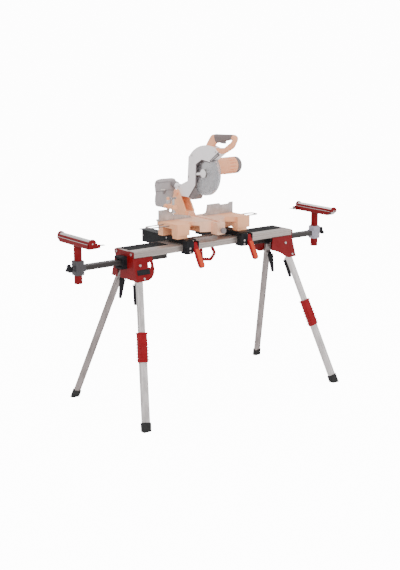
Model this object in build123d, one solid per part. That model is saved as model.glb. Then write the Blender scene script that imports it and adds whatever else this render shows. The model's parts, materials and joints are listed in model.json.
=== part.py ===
"""A mitre saw clamped to a folding work stand with two roller supports.

Lengths are in millimetres. X runs along the beam, -Y is the operator's side and +Z is up.
Shapes are drawn about the point on the floor under the middle of the beam. On export they are
moved so that the frame's origin is on the floor at the middle of the whole object's footprint.
"""
import math
import os

from build123d import *

# ---------------------------------------------------------------- driving dimensions

SHEET = 3.0                      # thickness of the stand's folded sheet
RUNNING = 0.05                   # radial clearance of a pin in its hole
SLIDING = 0.25                   # gap between sliding faces

BEAM_LENGTH = 1000.0
BEAM_WIDTH = 156.0
BEAM_TOP = 795.0
BEAM_HEIGHT = 33.0
BEAM_WALL = 3.0
DECK_FRONT = -27.0               # front edge of the sunk rear part of the deck
DECK_REAR = 70.0
DECK_DEPTH = 6.0
TRAY_SPANS = ((-468.0, -255.0), (255.0, 490.0))

PIVOT_Z = 724.0                  # height of the leg pivots
PIVOT_Y = 72.5                   # of a leg's middle plane, at pivot height
ROUND_PIVOT_X = 469.0            # pivot in a round cheek
LONG_PIVOT_X = 450.0             # pivot in a long cheek
FOOT_X = 604.0
FOOT_Y = 315.0
LEG_WIDTH = 34.0
LEG_THICK = 20.0
LEG_WALL = 2.0
LOWER_WIDTH = 38.0
LOWER_THICK = 25.0
SLEEVE_TOP = 316.0               # distances along a leg from its pivot
SLEEVE_END = 456.0
TONGUE_END = 488.0
FOOT_HEIGHT = 40.0
PIVOT_BOLT_R = 5.0
GROOVE_X = 7.0                   # of the groove along a leg's faces, from its middle line
GROOVE_WIDTH = 3.2
GROOVE_DEPTH = 0.9
TILT = math.degrees(math.atan2(FOOT_Y - PIVOT_Y, PIVOT_Z))     # of the front and rear leg planes
SIN_TILT = math.sin(math.radians(TILT))
COS_TILT = math.cos(math.radians(TILT))

END_X = -BEAM_LENGTH / 2         # inner face of the left bracket's end plate
PLATE_BOTTOM = 656.0
CHEEK_TOP = BEAM_TOP - BEAM_HEIGHT
CHEEK_GAP = 0.8
CHEEK_OUT = LEG_THICK / 2 + CHEEK_GAP + SHEET     # from the leg's plane to the cheek's outer face

LEVER_AXIS = 80.0                # of a latch lever, along the leg from its pivot
LEVER_LENGTH = 96.0
LEVER_OFFSET = 9.0               # of the lever's axis from the leg's inner face
LEVER_REST = {"front_left": 8.0, "front_right": 8.0, "rear_left": 20.0, "rear_right": 20.0}

ARM_WIDTH = 36.0
ARM_HEIGHT = 24.0
ARM_Z = 740.0
ARM_LENGTH = 470.0
ARM_INNER_END = {"left": 261.0, "right": 237.0}
POST_X = {"left": 758.0, "right": 734.0}
POST_R = 19.0
POST_BOTTOM = 668.0
HEAD_UNDERSIDE = 850.0
HEAD_STOP_END = 132.0            # length of the head each side of its post
HEAD_SLANT_END = 148.0
ROLLER_R = 16.0
STOP_X = 32.0                    # of the end stop's hinge, inboard of its post
ROLLER_Z = 874.0
BLOCK_SIZE = (54.0, 50.0, 70.0)
BLOCK_Z = 742.0

RAIL_X = (-174.0, 167.0)
RAIL_TOP = 820.0
RAIL_HALF_WIDTH = 22.0
RAIL_FRONT = -100.0
RAIL_REAR = 290.0
JAW_FRONT = -112.0

BLADE_R = 105.0
BLADE_Y = 14.0
BLADE_Z = 1118.0
CHOP_Y = 215.0                   # of the head's pivot
CHOP_Z = 1003.0
TABLE_TOP = 891.0
TURN_Y = 60.0                    # of the turntable's axis
TURN_R = 125.0
NOSE_R = 172.0                   # reach of the turntable's nose
FENCE_Y = 80.0                   # front faces of the fence
COLUMN_Y = 144.0                 # front of the tilting column
CHOP_LIMIT = 32.5                # degrees from the raised head to a full cut
MOTOR_R = 43.5
MOTOR_Z = 1145.0
MOTOR_Y = 18.0
COLUMN_HALF = 30.0
SLOT_HALF = 20.7                 # half the gap between the column's ears
BARREL_HALF = 20.2               # half the pivot barrel between them
TILT_BOSS_R = 22.0
GUARD_HALF = 19.0
CAVITY_HALF = 12.0               # half the space for the blade and the lower guard
CAVITY_R = BLADE_R + 7
CHUTE_HALF = 17.0
WIRE_Y = (10.0, 58.0)
WIRE_Z = 879.0
WIRE_R = 3.0
CLAMP_X = -168.0
CLAMP_Y = 101.0
CLAMP_REACH = 44.0               # of the clamp's screw, in front of its post
CLAMP_ARM_Z = 960.0

ALL = {}                         # node name -> shape


# ---------------------------------------------------------------- helpers

def box(x0, x1, y0, y1, z0, z1):
    """A block between two corners."""
    centre = ((x0 + x1) / 2, (y0 + y1) / 2, (z0 + z1) / 2)
    return Pos(*centre) * Box(abs(x1 - x0), abs(y1 - y0), abs(z1 - z0))


def rod(start, end, radius):
    """A round bar from one point to another."""
    axis = Vector(*end) - Vector(*start)
    plane = Plane(origin=start, z_dir=axis)
    return plane * extrude(Circle(radius), axis.length)


def ring(start, end, outer, inner):
    """A round tube from one point to another."""
    return rod(start, end, outer) - rod(start, end, inner)


def plate_yz(points, x0, x1):
    """A plate between two X positions with an outline of (y, z) corners."""
    face = make_face(Polyline(*[(y, z) for y, z in points], close=True))
    return Plane(origin=(x0, 0, 0), x_dir=(0, 1, 0), z_dir=(1, 0, 0)) * extrude(face, x1 - x0)


def plate_xz(points, y0, y1):
    """A plate between two Y positions with an outline of (x, z) corners."""
    face = make_face(Polyline(*points, close=True))
    return Plane(origin=(0, y1, 0), x_dir=(1, 0, 0), z_dir=(0, -1, 0)) * extrude(face, y1 - y0)


def rounded_bar(width, thick, radius, z0, z1):
    """A bar along local Z with a rounded rectangular section."""
    return Pos(0, 0, z0) * extrude(RectangleRounded(width, thick, radius), z1 - z0)


def half_turn(shape):
    """The same shape turned half round about the vertical axis."""
    return Rot(0, 0, 180) * shape


# ---------------------------------------------------------------- beam

def make_beam():
    """A hollow extrusion with a sunk deck, a grooved front face and a T slot."""
    half = BEAM_LENGTH / 2 - SHEET
    low = BEAM_TOP - BEAM_HEIGHT
    middle = (BEAM_TOP + low) / 2
    section = Plane.YZ * Pos(0, middle) * RectangleRounded(BEAM_WIDTH, BEAM_HEIGHT, 8)
    beam = Pos(-half, 0, 0) * extrude(section, 2 * half)
    edge = BEAM_WIDTH / 2
    beam -= box(-half, half, DECK_FRONT, DECK_REAR, BEAM_TOP - DECK_DEPTH, BEAM_TOP + 1)
    floor = BEAM_TOP - DECK_DEPTH - BEAM_WALL
    for y0, y1, top in ((-edge + BEAM_WALL, DECK_FRONT - BEAM_WALL, BEAM_TOP - BEAM_WALL),
                        (DECK_FRONT, 20, floor), (20 + BEAM_WALL, edge - BEAM_WALL, floor)):
        beam -= box(-half - 1, half + 1, y0, y1, low + BEAM_WALL, top)
    for z in (low + 11, low + 22):
        for side in (-1, 1):
            beam -= box(-half - 1, half + 1, side * (edge - 1.2), side * (edge + 1), z, z + 2.2)
    return beam


def make_trays():
    """Ribbed inlays that lie in the sunk deck."""
    trays = []
    bottom = BEAM_TOP - DECK_DEPTH
    for x0, x1 in TRAY_SPANS:
        tray = box(x0, x1, DECK_FRONT + 0.5, DECK_REAR - 0.5, bottom, BEAM_TOP - 1.5)
        for rib in range(7):
            y = DECK_FRONT + 9 + rib * 13
            tray -= box(x0 + 6, x1 - 6, y, y + 7, BEAM_TOP - 3, BEAM_TOP)
        trays.append(tray)
    return Compound(children=trays)


# ---------------------------------------------------------------- brackets

def front_leg_plane(x):
    """The front leg plane at a pivot: local X along the beam, local Y up the slope, Z outwards."""
    return Plane(origin=(x, -PIVOT_Y, PIVOT_Z), x_dir=(1, 0, 0), z_dir=(0, -COS_TILT, SIN_TILT))


def cheek_y(z):
    """Distance of a cheek's outer face from the middle of the stand at a height."""
    return PIVOT_Y + CHEEK_OUT / COS_TILT + (PIVOT_Z - z) * SIN_TILT / COS_TILT


def cheek(outline):
    """A front cheek from an outline drawn about the point (0, 0) at pivot height."""
    flat = Plane(origin=(0, -PIVOT_Y, PIVOT_Z), x_dir=(1, 0, 0), z_dir=(0, -COS_TILT, SIN_TILT))
    plate = extrude(Pos(0, 0, CHEEK_OUT - SHEET) * outline, SHEET)
    return flat * plate


def slope(z):
    """Distance up the slope of a cheek for a height of its outer face."""
    return (z - PIVOT_Z - CHEEK_OUT * SIN_TILT) / COS_TILT


def round_cheek():
    """The cheek with a round inner edge, a slot for the folded leg and a pivot hole."""
    top = slope(CHEEK_TOP) - 0.4
    low = slope(PLATE_BOTTOM)
    lines = [Line((END_X, top), (-391, top)), Line((-391, top), (-391, -18)),
             ThreePointArc((-391, -18), (-402, -52), (-440, low)),
             Line((-440, low), (END_X, low)), Line((END_X, low), (END_X, top))]
    outline = make_face(Wire(lines))
    outline -= Pos(-ROUND_PIVOT_X, 0) * Circle(PIVOT_BOLT_R + RUNNING)
    outline -= Pos(-415, -2) * Rot(0, 0, 82) * SlotOverall(28, 16)
    return cheek(outline)


def long_cheek():
    """The cheek that reaches inboard and slopes up to the beam, with a pivot hole."""
    top = slope(CHEEK_TOP) - 0.4
    low = slope(PLATE_BOTTOM)
    corners = ((END_X, top), (-372, top), (-350, slope(706)), (-403, slope(684)),
               (-440, slope(660)), (-462, low), (END_X, low))
    outline = make_face(Polyline(*corners, close=True))
    outline -= Pos(-LONG_PIVOT_X, 0) * Circle(PIVOT_BOLT_R + RUNNING)
    return cheek(outline)


def make_bracket():
    """One end bracket: end plate, two cheeks and their flanges under the beam."""
    ear = BEAM_WIDTH / 2 + 4
    low = cheek_y(PLATE_BOTTOM)
    neck = cheek_y(CHEEK_TOP)
    upper = BEAM_TOP - 2
    corners = ((-ear + 8, upper), (-ear, upper - 7), (-ear + 1, upper - 17), (-neck, CHEEK_TOP),
               (-low, PLATE_BOTTOM), (low, PLATE_BOTTOM), (neck, CHEEK_TOP),
               (ear - 1, upper - 17), (ear, upper - 7), (ear - 8, upper))
    bracket = plate_yz(corners, END_X - SHEET, END_X)
    bracket -= box(END_X - 5, END_X + 1, 34, 60, PLATE_BOTTOM - 1, 706)
    bracket -= box(END_X - 5, END_X + 1, -ARM_WIDTH / 2 - 3, ARM_WIDTH / 2 + 3, ARM_Z - 15, ARM_Z + 15)
    flange_top = CHEEK_TOP - 0.2
    bracket += round_cheek() + mirror(long_cheek(), about=Plane.XZ)
    bracket += box(END_X, -391, -neck, 17 - neck, flange_top - SHEET, flange_top)
    bracket += box(END_X, -372, neck - 17, neck, flange_top - SHEET, flange_top)
    bolt = rod((END_X - 5, -61, 781), (END_X + 5, -61, 781), 3.2)
    bracket -= bolt + Pos(0, 122, 0) * bolt
    return bracket


def screw_head(start, outward, radius, height):
    """A low domed head that stands on a surface."""
    plane = Plane(origin=start, z_dir=outward)
    dome = extrude(Circle(radius), height)
    return plane * fillet(dome.edges().group_by(Axis.Z)[-1], height * 0.6)


def pivot_bolt(plane):
    """A leg's pivot bolt: domed head outside the cheek, shank through the leg, nut inside."""
    head = Pos(0, 0, CHEEK_OUT) * extrude(Circle(7), 4)
    head = fillet(head.edges().group_by(Axis.Z)[-1], 2.5)
    inside = -LEG_THICK / 2 - 0.6
    shank = Pos(0, 0, inside) * extrude(Circle(PIVOT_BOLT_R), CHEEK_OUT - inside)
    nut = Pos(0, 0, inside - 5) * extrude(RegularPolygon(8, 6), 5)
    return plane * (head + shank + nut)


def make_fasteners():
    """Every screw, bolt and rivet of the two brackets, as separate solids."""
    solids = []
    for side in (-1, 1):
        for y in (-61, 61):
            x = side * (BEAM_LENGTH / 2 + SHEET)
            head = screw_head((x, y, 781), (side, 0, 0), 6.5, 3.5)
            shank = rod((x - side * SHEET, y, 781), (x, y, 781), 3.0)
            solids.append(head + shank)
    for pivot_x, rivet_x, rivet_w in ((-ROUND_PIVOT_X, -459, slope(667)),
                                      (LONG_PIVOT_X, 481, slope(669))):
        plane = front_leg_plane(pivot_x)
        bolt = pivot_bolt(plane)
        rivet = Plane(origin=(0, -PIVOT_Y, PIVOT_Z), x_dir=(1, 0, 0),
                      z_dir=(0, -COS_TILT, SIN_TILT)) * (
            Pos(rivet_x, rivet_w, CHEEK_OUT) * extrude(Circle(5.5), 2.5))
        for piece in (bolt, rivet):
            solids += [piece, half_turn(piece)]
    return Compound(children=solids)


def make_nameplates():
    """Blank black plates riveted on the two round cheeks."""
    plate = Pos(-457, slope(697), CHEEK_OUT) * extrude(RectangleRounded(72, 25, 3), 2)
    plate = fillet(plate.edges().group_by(Axis.Z)[-1], 0.8)
    plane = Plane(origin=(0, -PIVOT_Y, PIVOT_Z), x_dir=(1, 0, 0), z_dir=(0, -COS_TILT, SIN_TILT))
    front = plane * plate
    return Compound(children=[front, half_turn(front)])


def make_carry_handle():
    """A five-sided rounded hoop with a foot plate, under the middle of the beam."""
    corners = [(-40, 752), (-34, 690), (22, 682), (48, 712), (26, 752)]
    path = FilletPolyline(*[(x, 0, z) for x, z in corners], radius=14)
    section = Plane(origin=path @ 0, z_dir=path % 0) * Circle(8)
    hoop = sweep(section, path=path)
    return hoop + box(-52, 40, -14, 14, 750, CHEEK_TOP)


def outer_guide():
    """A black guide on the left end plate, with prongs round the arm."""
    x1 = END_X - SHEET
    guide = box(x1 - 26, x1, -27, 27, 708, 768)
    guide += box(x1 - 38, x1 - 20, -27, 24, 757, 768)
    guide += box(x1 - 34, x1 - 20, -27, 24, 708, 718)
    guide -= box(x1 - 60, x1 + 1, -ARM_WIDTH / 2 - SLIDING, ARM_WIDTH / 2 + SLIDING,
                 ARM_Z - ARM_HEIGHT / 2 - SLIDING, ARM_Z + ARM_HEIGHT / 2 + SLIDING)
    return guide


def inner_guide():
    """A black guide under the beam that carries the inner part of the left arm."""
    guide = box(-392, -374, -27, 27, 722, CHEEK_TOP)
    guide -= box(-400, -370, -ARM_WIDTH / 2 - SLIDING, ARM_WIDTH / 2 + SLIDING,
                 ARM_Z - ARM_HEIGHT / 2 - SLIDING, ARM_Z + ARM_HEIGHT / 2 + SLIDING)
    return guide


def make_guides():
    """The four arm guides."""
    pieces = [outer_guide(), inner_guide()]
    return Compound(children=pieces + [half_turn(piece) for piece in pieces])


# ---------------------------------------------------------------- legs

LEGS = {
    "front_left": (-1, -1, ROUND_PIVOT_X),
    "rear_left": (-1, 1, LONG_PIVOT_X),
    "front_right": (1, -1, LONG_PIVOT_X),
    "rear_right": (1, 1, ROUND_PIVOT_X),
}


def leg_plane(name):
    """A leg's own plane: Z up the leg to its pivot, Y outwards through its cheek."""
    side, end, pivot_x = LEGS[name]
    pivot = Vector(side * pivot_x, end * PIVOT_Y, PIVOT_Z)
    foot = Vector(side * FOOT_X, end * FOOT_Y, 0)
    outward = Vector(0, end * COS_TILT, SIN_TILT)
    up = (pivot - foot).normalized()
    return Plane(origin=pivot, x_dir=outward.cross(up), z_dir=up)


def leg_length(name):
    """Distance from a leg's pivot to the floor, along the leg."""
    side, end, pivot_x = LEGS[name]
    return math.dist((pivot_x, PIVOT_Y, PIVOT_Z), (FOOT_X, FOOT_Y, 0))


def grooves(thick, z0, z1):
    """The grooves along the outer and inner faces of a leg."""
    reach = GROOVE_WIDTH / 2
    cut = box(GROOVE_X - reach, GROOVE_X + reach, thick / 2 - GROOVE_DEPTH, thick / 2 + 1, z0, z1)
    return cut + mirror(cut, about=Plane.XZ)


def leg_tube(length):
    """A grooved tube with a round top end, a pivot hole and lugs for its latch lever."""
    tube = rounded_bar(LEG_WIDTH, LEG_THICK, 5, -length, LEG_WIDTH / 2)
    top = rod((0, -20, 0), (0, 20, 0), LEG_WIDTH / 2) + box(-20, 20, -20, 20, -length - 1, 0)
    tube = tube & top
    tube -= rounded_bar(LEG_WIDTH - 2 * LEG_WALL, LEG_THICK - 2 * LEG_WALL, 3, -length - 1, 20)
    tube -= rod((0, -20, 0), (0, 20, 0), PIVOT_BOLT_R + RUNNING)
    tube -= grooves(LEG_THICK, -length - 1, -LEVER_AXIS - 122)
    face = -LEG_THICK / 2
    for x in (-12.5, 9.5):
        tube += box(x, x + 3, face - LEVER_OFFSET - 4, face + 1, -LEVER_AXIS - 5, -LEVER_AXIS + 8)
    return tube + rod((-12, face - LEVER_OFFSET, -LEVER_AXIS), (12, face - LEVER_OFFSET, -LEVER_AXIS), 2.5)


def latch_lever(rest_angle):
    """A drop-shaped lever on the leg's inner face, swung out by its rest angle."""
    axis_y = -LEG_THICK / 2 - LEVER_OFFSET
    outline = make_face(Wire([
        ThreePointArc((-15, -16), (0, 8), (15, -16)), Line((15, -16), (7, -LEVER_LENGTH)),
        ThreePointArc((7, -LEVER_LENGTH), (0, -LEVER_LENGTH - 7), (-7, -LEVER_LENGTH)),
        Line((-7, -LEVER_LENGTH), (-15, -16))]))
    blade = Plane(origin=(0, -6, 0), x_dir=(1, 0, 0), z_dir=(0, -1, 0)) * extrude(outline, 8)
    blade -= box(-16, 16, -20, 1, -9, 20)
    hub = rod((-9.2, 0, 0), (9.2, 0, 0), 5.5) + box(-9.2, 9.2, -13, -1, -16, -1)
    lever = blade + hub - rod((-20, 0, 0), (20, 0, 0), 2.5 + RUNNING)
    return Pos(0, axis_y, -LEVER_AXIS) * Rot(-rest_angle, 0, 0) * lever


def rubber_foot(length, width, thick):
    """A rubber boot round a tube's end, solid below the tube."""
    boot = rounded_bar(width + 7, thick + 7, 7, -length - 20, -length + FOOT_HEIGHT)
    return boot - rounded_bar(width, thick, 5, -length + 14, -length + FOOT_HEIGHT + 1)


def on_floor(shape):
    """Only what lies above the floor."""
    return shape - box(-900, 900, -900, 900, -100, 0)


def make_legs():
    """The four legs with their levers, and the extensions of the two front legs."""
    for name in LEGS:
        plane = leg_plane(name)
        length = leg_length(name)
        telescopic = name.startswith("front")
        tube_end = 620 if telescopic else length - 14
        ALL[name + "_leg"] = plane * leg_tube(tube_end)
        ALL[name + "_lever"] = plane * latch_lever(LEVER_REST[name])
        if telescopic:
            lower = rounded_bar(LOWER_WIDTH, LOWER_THICK, 6, -length + 14, -SLEEVE_TOP - 6)
            lower -= rounded_bar(LEG_WIDTH + 0.6, LEG_THICK + 0.6, 5.3, -length, -200)
            lower -= grooves(LOWER_THICK, -length + FOOT_HEIGHT, -SLEEVE_END - 4)
            sleeve = rounded_bar(LOWER_WIDTH + 8, LOWER_THICK + 8, 8, -SLEEVE_END, -SLEEVE_TOP)
            sleeve += rounded_bar(LOWER_WIDTH + 13, LOWER_THICK + 13, 9, -SLEEVE_TOP - 7, -SLEEVE_TOP)
            sleeve += box(-10, 10, -LOWER_THICK / 2 - 4, -LOWER_THICK / 2 - 0.2, -TONGUE_END, -SLEEVE_END + 5)
            sleeve += rod((0, -LOWER_THICK / 2 - 4, -TONGUE_END + 9),
                          (0, -LOWER_THICK / 2 - 8, -TONGUE_END + 9), 5)
            sleeve -= rounded_bar(LOWER_WIDTH, LOWER_THICK, 6, -length, -SLEEVE_TOP - 6)
            sleeve -= rounded_bar(LEG_WIDTH + 0.6, LEG_THICK + 0.6, 5.3, -length, -200)
            ALL[name + "_extension"] = plane * lower
            ALL[name + "_sleeve"] = plane * sleeve
            foot = rubber_foot(length, LOWER_WIDTH, LOWER_THICK)
        else:
            foot = rubber_foot(length, LEG_WIDTH, LEG_THICK)
        ALL[name + "_foot"] = on_floor(plane * foot)


# ---------------------------------------------------------------- work supports

def make_arm():
    """A grooved steel section for the right side, from its inner end at X = 0."""
    arm = box(0, ARM_LENGTH, -ARM_WIDTH / 2, ARM_WIDTH / 2, ARM_Z - ARM_HEIGHT / 2, ARM_Z + ARM_HEIGHT / 2)
    arm -= box(-1, ARM_LENGTH + 1, -ARM_WIDTH / 2 + 3, ARM_WIDTH / 2 - 3, ARM_Z - 9, ARM_Z + 9)
    for side in (-1, 1):
        arm -= box(-1, ARM_LENGTH + 1, side * (ARM_WIDTH / 2 - 1.4), side * (ARM_WIDTH / 2 + 1), ARM_Z - 4, ARM_Z + 4)
        arm -= box(-1, ARM_LENGTH + 1, side * 8, side * 10.5, ARM_Z + 10.6, ARM_Z + 14)
    return arm


def make_block():
    """A cast clamp block about the post's axis, outboard towards +X."""
    sx, sy, sz = BLOCK_SIZE
    block = rounded_bar(sx, sy, 9, BLOCK_Z - sz / 2 + 6, BLOCK_Z + sz / 2 - 6)
    block += rod((0, 0, BLOCK_Z - sz / 2), (0, 0, BLOCK_Z + sz / 2), 25)
    block += box(-sx / 2 - 4, 0, -22, 22, ARM_Z - 17, ARM_Z + 17)
    block -= rod((0, 0, 600), (0, 0, 900), POST_R + 0.1)
    block += rod((sx / 2 - 4, 0, BLOCK_Z), (sx / 2 + 5, 0, BLOCK_Z), 11)
    block -= rod((10, 0, BLOCK_Z), (60, 0, BLOCK_Z), 4 + RUNNING)
    block -= box(-sx / 2 - 5, -sx / 2, -ARM_WIDTH / 2, ARM_WIDTH / 2, ARM_Z - ARM_HEIGHT / 2, ARM_Z + ARM_HEIGHT / 2)
    return block


def make_knob():
    """A three-lobed knob on its clamping stud, outboard towards +X."""
    sx = BLOCK_SIZE[0]
    start = sx / 2 + 5.5
    knob = rod((start, 0, BLOCK_Z), (start + 11, 0, BLOCK_Z), 9)
    for lobe in range(3):
        angle = math.radians(90 + 120 * lobe)
        y, z = 13 * math.cos(angle), 13 * math.sin(angle)
        knob += rod((start + 6, y, BLOCK_Z + z), (start + 24, y, BLOCK_Z + z), 9.5)
    knob += rod((start + 6, 0, BLOCK_Z), (start + 27, 0, BLOCK_Z), 12)
    return knob + rod((POST_R + 0.5, 0, BLOCK_Z), (start + 2, 0, BLOCK_Z), 4)


def make_head():
    """A post welded to a roller tray; the tray's slanted end is at -Y and its stop end at +Y."""
    wall = 2.5
    y0, y1 = -HEAD_SLANT_END, HEAD_STOP_END
    low = HEAD_UNDERSIDE
    profile = ((-22, low), (22, low), (24, low + 3), (24, low + 21), (20, low + 23), (20, low + 34),
               (20 - wall, low + 34), (20 - wall, low + 20), (21, low + 19), (21, low + 4),
               (-21, low + 4), (-21, low + 19), (-20 + wall, low + 20), (-20 + wall, low + 34),
               (-20, low + 34), (-20, low + 23), (-24, low + 21), (-24, low + 3))
    head = plate_xz(profile, y0 + 7, y1 - 7)
    ear = Plane(origin=(0, 0, 0), x_dir=(1, 0, 0), z_dir=(0, -1, 0)) * extrude(
        make_face(Wire([Line((-22, low), (22, low)), Line((22, low), (19, low + 26)),
                        ThreePointArc((19, low + 26), (0, low + 45), (-19, low + 26)),
                        Line((-19, low + 26), (-22, low))])), 7)
    head += Pos(0, y0 + 7, 0) * ear
    head += Pos(0, y1, 0) * ear
    head -= plate_yz(((y0 - 1, low - 1), (y0 + 30, low - 1), (y0 - 1, low + 24)), -40, 40)
    for y in (y0 - 1, y1 - 8):
        head -= rod((0, y, ROLLER_Z), (0, y + 9, ROLLER_Z), 4 + RUNNING)
    for y in (y1 - 4, y1 - 28):
        clevis = box(-STOP_X - 8, -22, y, y + 4, low + 1, low + 19)
        head += clevis
    head += rod((-STOP_X, y1 - 27, low + 8), (-STOP_X, y1 - 1, low + 8), 2)
    post = rod((0, 0, POST_BOTTOM), (0, 0, low + 4), POST_R) - rod((0, 0, POST_BOTTOM - 1), (0, 0, low), POST_R - 2)
    return head + post


def make_roller():
    """A steel roller with stub axles that turn in the tray's ends."""
    y0, y1 = -HEAD_SLANT_END, HEAD_STOP_END
    roller = rod((0, y0 + 8, ROLLER_Z), (0, y1 - 8, ROLLER_Z), ROLLER_R)
    roller = chamfer(roller.edges(), 1)
    return roller + rod((0, y0 + 1, ROLLER_Z), (0, y1 - 1, ROLLER_Z), 4)


def make_stop():
    """A flip-up end stop: a thin tab on a rolled eye, lying flat and pointing inboard."""
    y0, y1 = HEAD_STOP_END - 23.5, HEAD_STOP_END - 4.5
    z = HEAD_UNDERSIDE + 8
    tab = box(-STOP_X - 38, -STOP_X, y0, y1, z + 1.5, z + 3.5)
    tab += rod((-STOP_X, y0, z), (-STOP_X, y1, z), 4)
    return tab - rod((-STOP_X, y0 - 1, z), (-STOP_X, y1 + 1, z), 2 + RUNNING)


def make_supports():
    """Both arms with what they carry; the left one is the right one turned half round."""
    for side in ("right", "left"):
        post = Pos(POST_X[side], 0, 0)
        pieces = {
            "arm": Pos(ARM_INNER_END[side], 0, 0) * make_arm(),
            "clamp_block": post * make_block(),
            "knob": post * make_knob(),
            "support_head": post * make_head(),
            "roller": post * make_roller(),
            "stop": post * make_stop(),
        }
        for name, shape in pieces.items():
            ALL[side + "_" + name] = shape if side == "right" else half_turn(shape)


# ---------------------------------------------------------------- saw carriage

def make_rail():
    """A saw rail about X = 0: a wide top flange on two webs that deepen behind the beam."""
    under = BEAM_TOP + SLIDING
    half = RAIL_HALF_WIDTH
    rail = box(-half - 6, half + 6, RAIL_FRONT, RAIL_REAR + 16, RAIL_TOP - SHEET, RAIL_TOP)
    for x in (-half, half - SHEET):
        front = -BEAM_WIDTH / 2
        web = ((front, under), (95, under), (95, 770), (110, 757), (RAIL_REAR, 757),
               (RAIL_REAR, RAIL_TOP - 1), (front, RAIL_TOP - 1))
        rail += plate_yz(web, x, x + SHEET)
    rail += box(-half, half, RAIL_REAR - SHEET, RAIL_REAR, 757, RAIL_TOP - 1)
    return rail


def make_jaw():
    """A front clamp block about X = 0 that hooks under the beam's front edge."""
    low = BEAM_TOP - BEAM_HEIGHT - 9
    edge = -BEAM_WIDTH / 2
    jaw = box(-37, 1, JAW_FRONT, edge - 0.4, low, RAIL_TOP - SHEET)
    jaw += box(-37, 1, edge - 1, edge + 14, low, BEAM_TOP - BEAM_HEIGHT - 0.4)
    jaw += box(1, 36, edge - 6, edge + 14, low, BEAM_TOP - BEAM_HEIGHT - 0.4)
    jaw += box(-1, 5, JAW_FRONT, edge - 0.6, 780, 812)
    jaw += box(31, 36, JAW_FRONT, edge - 0.6, low, 812)
    jaw += box(1, 36, edge - 5, edge - 0.4, low, BEAM_TOP)
    return jaw + rod((0, -98, 797), (34, -98, 797), 3)


def make_clamp_lever():
    """A red lever that hangs down and forwards from its cam hub, about X = 0."""
    hub = rod((5.5, -98, 797), (30.5, -98, 797), 11)
    outline = ((-108, 802), (-92, 786), (-122, 716), (-133, 703), (-148, 696), (-163, 697), (-162, 706))
    arm = plate_yz(outline, 5.5, 30.5)
    tip = rod((5.5, -152, 703), (30.5, -152, 703), 10)
    lever = hub + arm + tip
    return lever - rod((0, -98, 797), (40, -98, 797), 3 + RUNNING)


def make_rail_bolts():
    """Two screws in each clamp block and two bolts in each rail's outer web."""
    bolts = []
    for x in RAIL_X:
        for z in (763, 781):
            bolts.append(screw_head((x - 18, JAW_FRONT, z), (0, -1, 0), 6, 4))
        for y, z in ((75, 808), (280, 790)):
            bolts.append(screw_head((x - RAIL_HALF_WIDTH, y, z), (-1, 0, 0), 5.5, 4))
    return Compound(children=bolts)


# ---------------------------------------------------------------- saw base

def sector(radius, centre_y, half_angle, z0, z1):
    """A pie slice about -Y, from a point on the middle line."""
    reach = 2 * radius
    a = math.radians(half_angle)
    slice_face = make_face(Polyline((0, 0), (-reach * math.sin(a), -reach * math.cos(a)),
                                    (0, -2 * reach), (reach * math.sin(a), -reach * math.cos(a)), close=True))
    disc = Circle(radius) & slice_face
    return Pos(0, centre_y, z0) * extrude(disc, z1 - z0)


def make_base():
    """The cast base: a drum under the turntable, two table wings and four feet."""
    table_low = TABLE_TOP - 25
    disc_low = TABLE_TOP - 20.6
    base = box(-228, 230, -38, 84, table_low, TABLE_TOP)
    for x0, x1 in ((-228, -138), (138, 230)):
        base += box(x0, x1, 80, 112, table_low, TABLE_TOP)
    base -= rod((0, TURN_Y, table_low - 1), (0, TURN_Y, TABLE_TOP + 1), TURN_R + 0.4)
    base -= sector(NOSE_R + 4, TURN_Y, 57.5, table_low - 1, TABLE_TOP + 1)
    for x0, x1 in ((-226, -152), (152, 230)):
        base += box(x0, x1, -56, -8, 834, TABLE_TOP)
        base += box(x0, x0 + 62, -54, -14, RAIL_TOP + 0.01, 834.5)
        base += box(x0 + 4, x1 - 4, 70, 110, RAIL_TOP + 0.01, table_low + 1)
    base += rod((0, TURN_Y, 828), (0, TURN_Y, disc_low - 0.4), 56)
    for x0, x1 in ((-165, -40), (40, 165)):
        base += box(x0, x1, TURN_Y + 6, 84, 836, disc_low - 0.4)
    base -= rod((0, TURN_Y, 810), (0, TURN_Y, 900), 12 + RUNNING)
    base -= rod((0, TURN_Y, 824), (0, TURN_Y, 858), 48) - rod((0, TURN_Y, 820), (0, TURN_Y, 860), 20)
    base -= rod((CLAMP_X, CLAMP_Y, 868), (CLAMP_X, CLAMP_Y, 900), 7)
    for side in (-1, 1):
        for y in WIRE_Y:
            base -= rod((side * 132, y, WIRE_Z), (side * 240, y, WIRE_Z), WIRE_R + RUNNING)
    return base


def make_fence():
    """Two fence plates; the left one is low near the blade so that the tilted head clears it."""
    low = TABLE_TOP + 0.3
    left = ((-238, low), (-36, low), (-44, low + 10), (-150, low + 28), (-188, 946), (-238, 946))
    right = ((36, low), (230, low), (230, 946), (212, 946), (200, 938), (150, 938), (142, 946),
             (66, 946), (58, low + 16), (42, low + 10))
    fence = plate_xz(left, FENCE_Y, FENCE_Y + 8) + plate_xz(right, FENCE_Y, FENCE_Y + 8)
    rear = FENCE_Y + 7
    for x0, x1 in ((-238, -182), (138, 230)):
        fence += box(x0, x1, rear, rear + 18, low, low + 8)
    for x, top in ((-218, 938), (-192, 925), (160, 934), (210, 938)):
        fence += plate_yz(((rear, low + 6), (rear + 16, low + 6), (rear, top)), x - 3, x + 3)
    return fence


def wire_support(side):
    """A U-shaped wire that slides out of the base's side."""
    near, far = side * 160, side * 340
    path = FilletPolyline((near, WIRE_Y[0], WIRE_Z), (far, WIRE_Y[0], WIRE_Z),
                          (far, WIRE_Y[1], WIRE_Z), (near, WIRE_Y[1], WIRE_Z), radius=14)
    return sweep(Plane(origin=path @ 0, z_dir=path % 0) * Circle(WIRE_R), path=path)


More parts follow.
